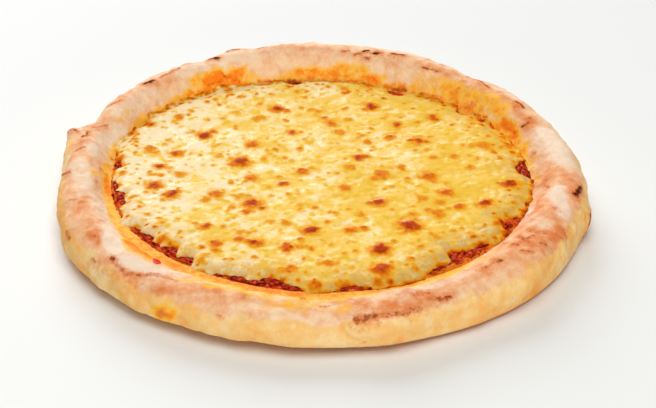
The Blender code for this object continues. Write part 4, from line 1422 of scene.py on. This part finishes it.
class PIZZA_OT_stage(bpy.types.Operator):
    """Sets the plain floor, with painted shade that darkens it towards +X, the soft light and the
    photograph's camera
    """

    bl_idname = "pizza.stage"
    bl_label = "Stage"

    def execute(self, context):
        look = context.scene.pizza_stage
        self.lay_floor(look)
        self.light(context, look)
        self.place_camera(context)
        context.scene.view_settings.view_transform = "Standard"
        return {"FINISHED"}

    def lay_floor(self, look):
        mesh = bpy.data.meshes.new("floor")
        plane = bmesh.new()
        bmesh.ops.create_grid(plane, x_segments=8, y_segments=8, size=4.0)
        plane.to_mesh(mesh)
        plane.free()
        floor = linked("floor", mesh)
        finish = Finish("pale_floor")
        # Painted shade: the floor's colour darkens towards +X to 0.93 of its brightness, as if less
        # light fell there.
        across = finish.add("ShaderNodeSeparateXYZ", {}, {"Vector": finish.place})
        tint = finish.mix((across * 1.6 + 0.5).limited(), look.floor, darker(look.floor, 0.93))
        mesh.materials.append(finish.set(Base_Color=tint, Roughness=0.7, Specular_IOR_Level=0.2))

    def light(self, context, look):
        world = bpy.data.worlds.new("studio")
        world.use_nodes = True
        sky = world.node_tree.nodes["Background"].inputs
        sky["Color"].default_value = SKY_TINT
        sky["Strength"].default_value = look.sky
        context.scene.world = world
        for name, place, sides, tint in SOFTBOXES:
            self.add_softbox(name, place, sides, getattr(look, name), tint)

    def add_softbox(self, name, place, sides, power, tint):
        light = bpy.data.lights.new(name, "AREA")
        light.color = tint
        light.shape = "RECTANGLE"
        light.size, light.size_y = sides
        light.energy = power
        lamp = linked(name, light)
        lamp.location = place
        lamp.rotation_euler = (-Vector(place)).to_track_quat("-Z", "Y").to_euler()

    def place_camera(self, context):
        lens = bpy.data.cameras.new("photo_camera")
        lens.sensor_width = SENSOR_MM
        lens.lens = FOCAL_PIXELS / PHOTO_WIDTH * SENSOR_MM
        lens.shift_x = (PHOTO_WIDTH / 2 - MIDDLE_PIXEL[0]) / PHOTO_WIDTH
        lens.shift_y = (MIDDLE_PIXEL[1] - PHOTO_HEIGHT / 2) / PHOTO_WIDTH
        camera = linked("photo_camera", lens)
        camera.location = CAMERA_SPOT
        camera.rotation_euler = (math.pi / 2 - CAMERA_ELEVATION, 0.0, 0.0)
        context.scene.camera = camera


class PIZZA_PT_panel(bpy.types.Panel):
    """Lists the steps that dress the pizza"""

    bl_idname = "PIZZA_PT_panel"
    bl_label = "Three cheese pizza"
    bl_space_type = "VIEW_3D"
    bl_region_type = "UI"
    bl_category = "Pizza"

    def draw(self, context):
        for step in STEPS:
            self.layout.operator(step.bl_idname)


STEPS = (
    PIZZA_OT_stage, PIZZA_OT_crust, PIZZA_OT_sauce, PIZZA_OT_cheese,
    PIZZA_OT_flour, PIZZA_OT_pulp, PIZZA_OT_beads,
)
CLASSES = (*GROUPS.values(), *STEPS, PIZZA_PT_panel)


def register():
    for cls in CLASSES:
        bpy.utils.register_class(cls)
    for name, group in GROUPS.items():
        setattr(bpy.types.Scene, name, bpy.props.PointerProperty(type=group))


def unregister():
    for name in GROUPS:
        delattr(bpy.types.Scene, name)
    for cls in reversed(CLASSES):
        bpy.utils.unregister_class(cls)


def main():
    register()
    bpy.ops.pizza.stage()
    bpy.ops.pizza.crust()
    bpy.ops.pizza.sauce()
    bpy.ops.pizza.cheese()
    bpy.ops.pizza.flour()
    bpy.ops.pizza.pulp()
    bpy.ops.pizza.beads()


if __name__ == "__main__":
    main()
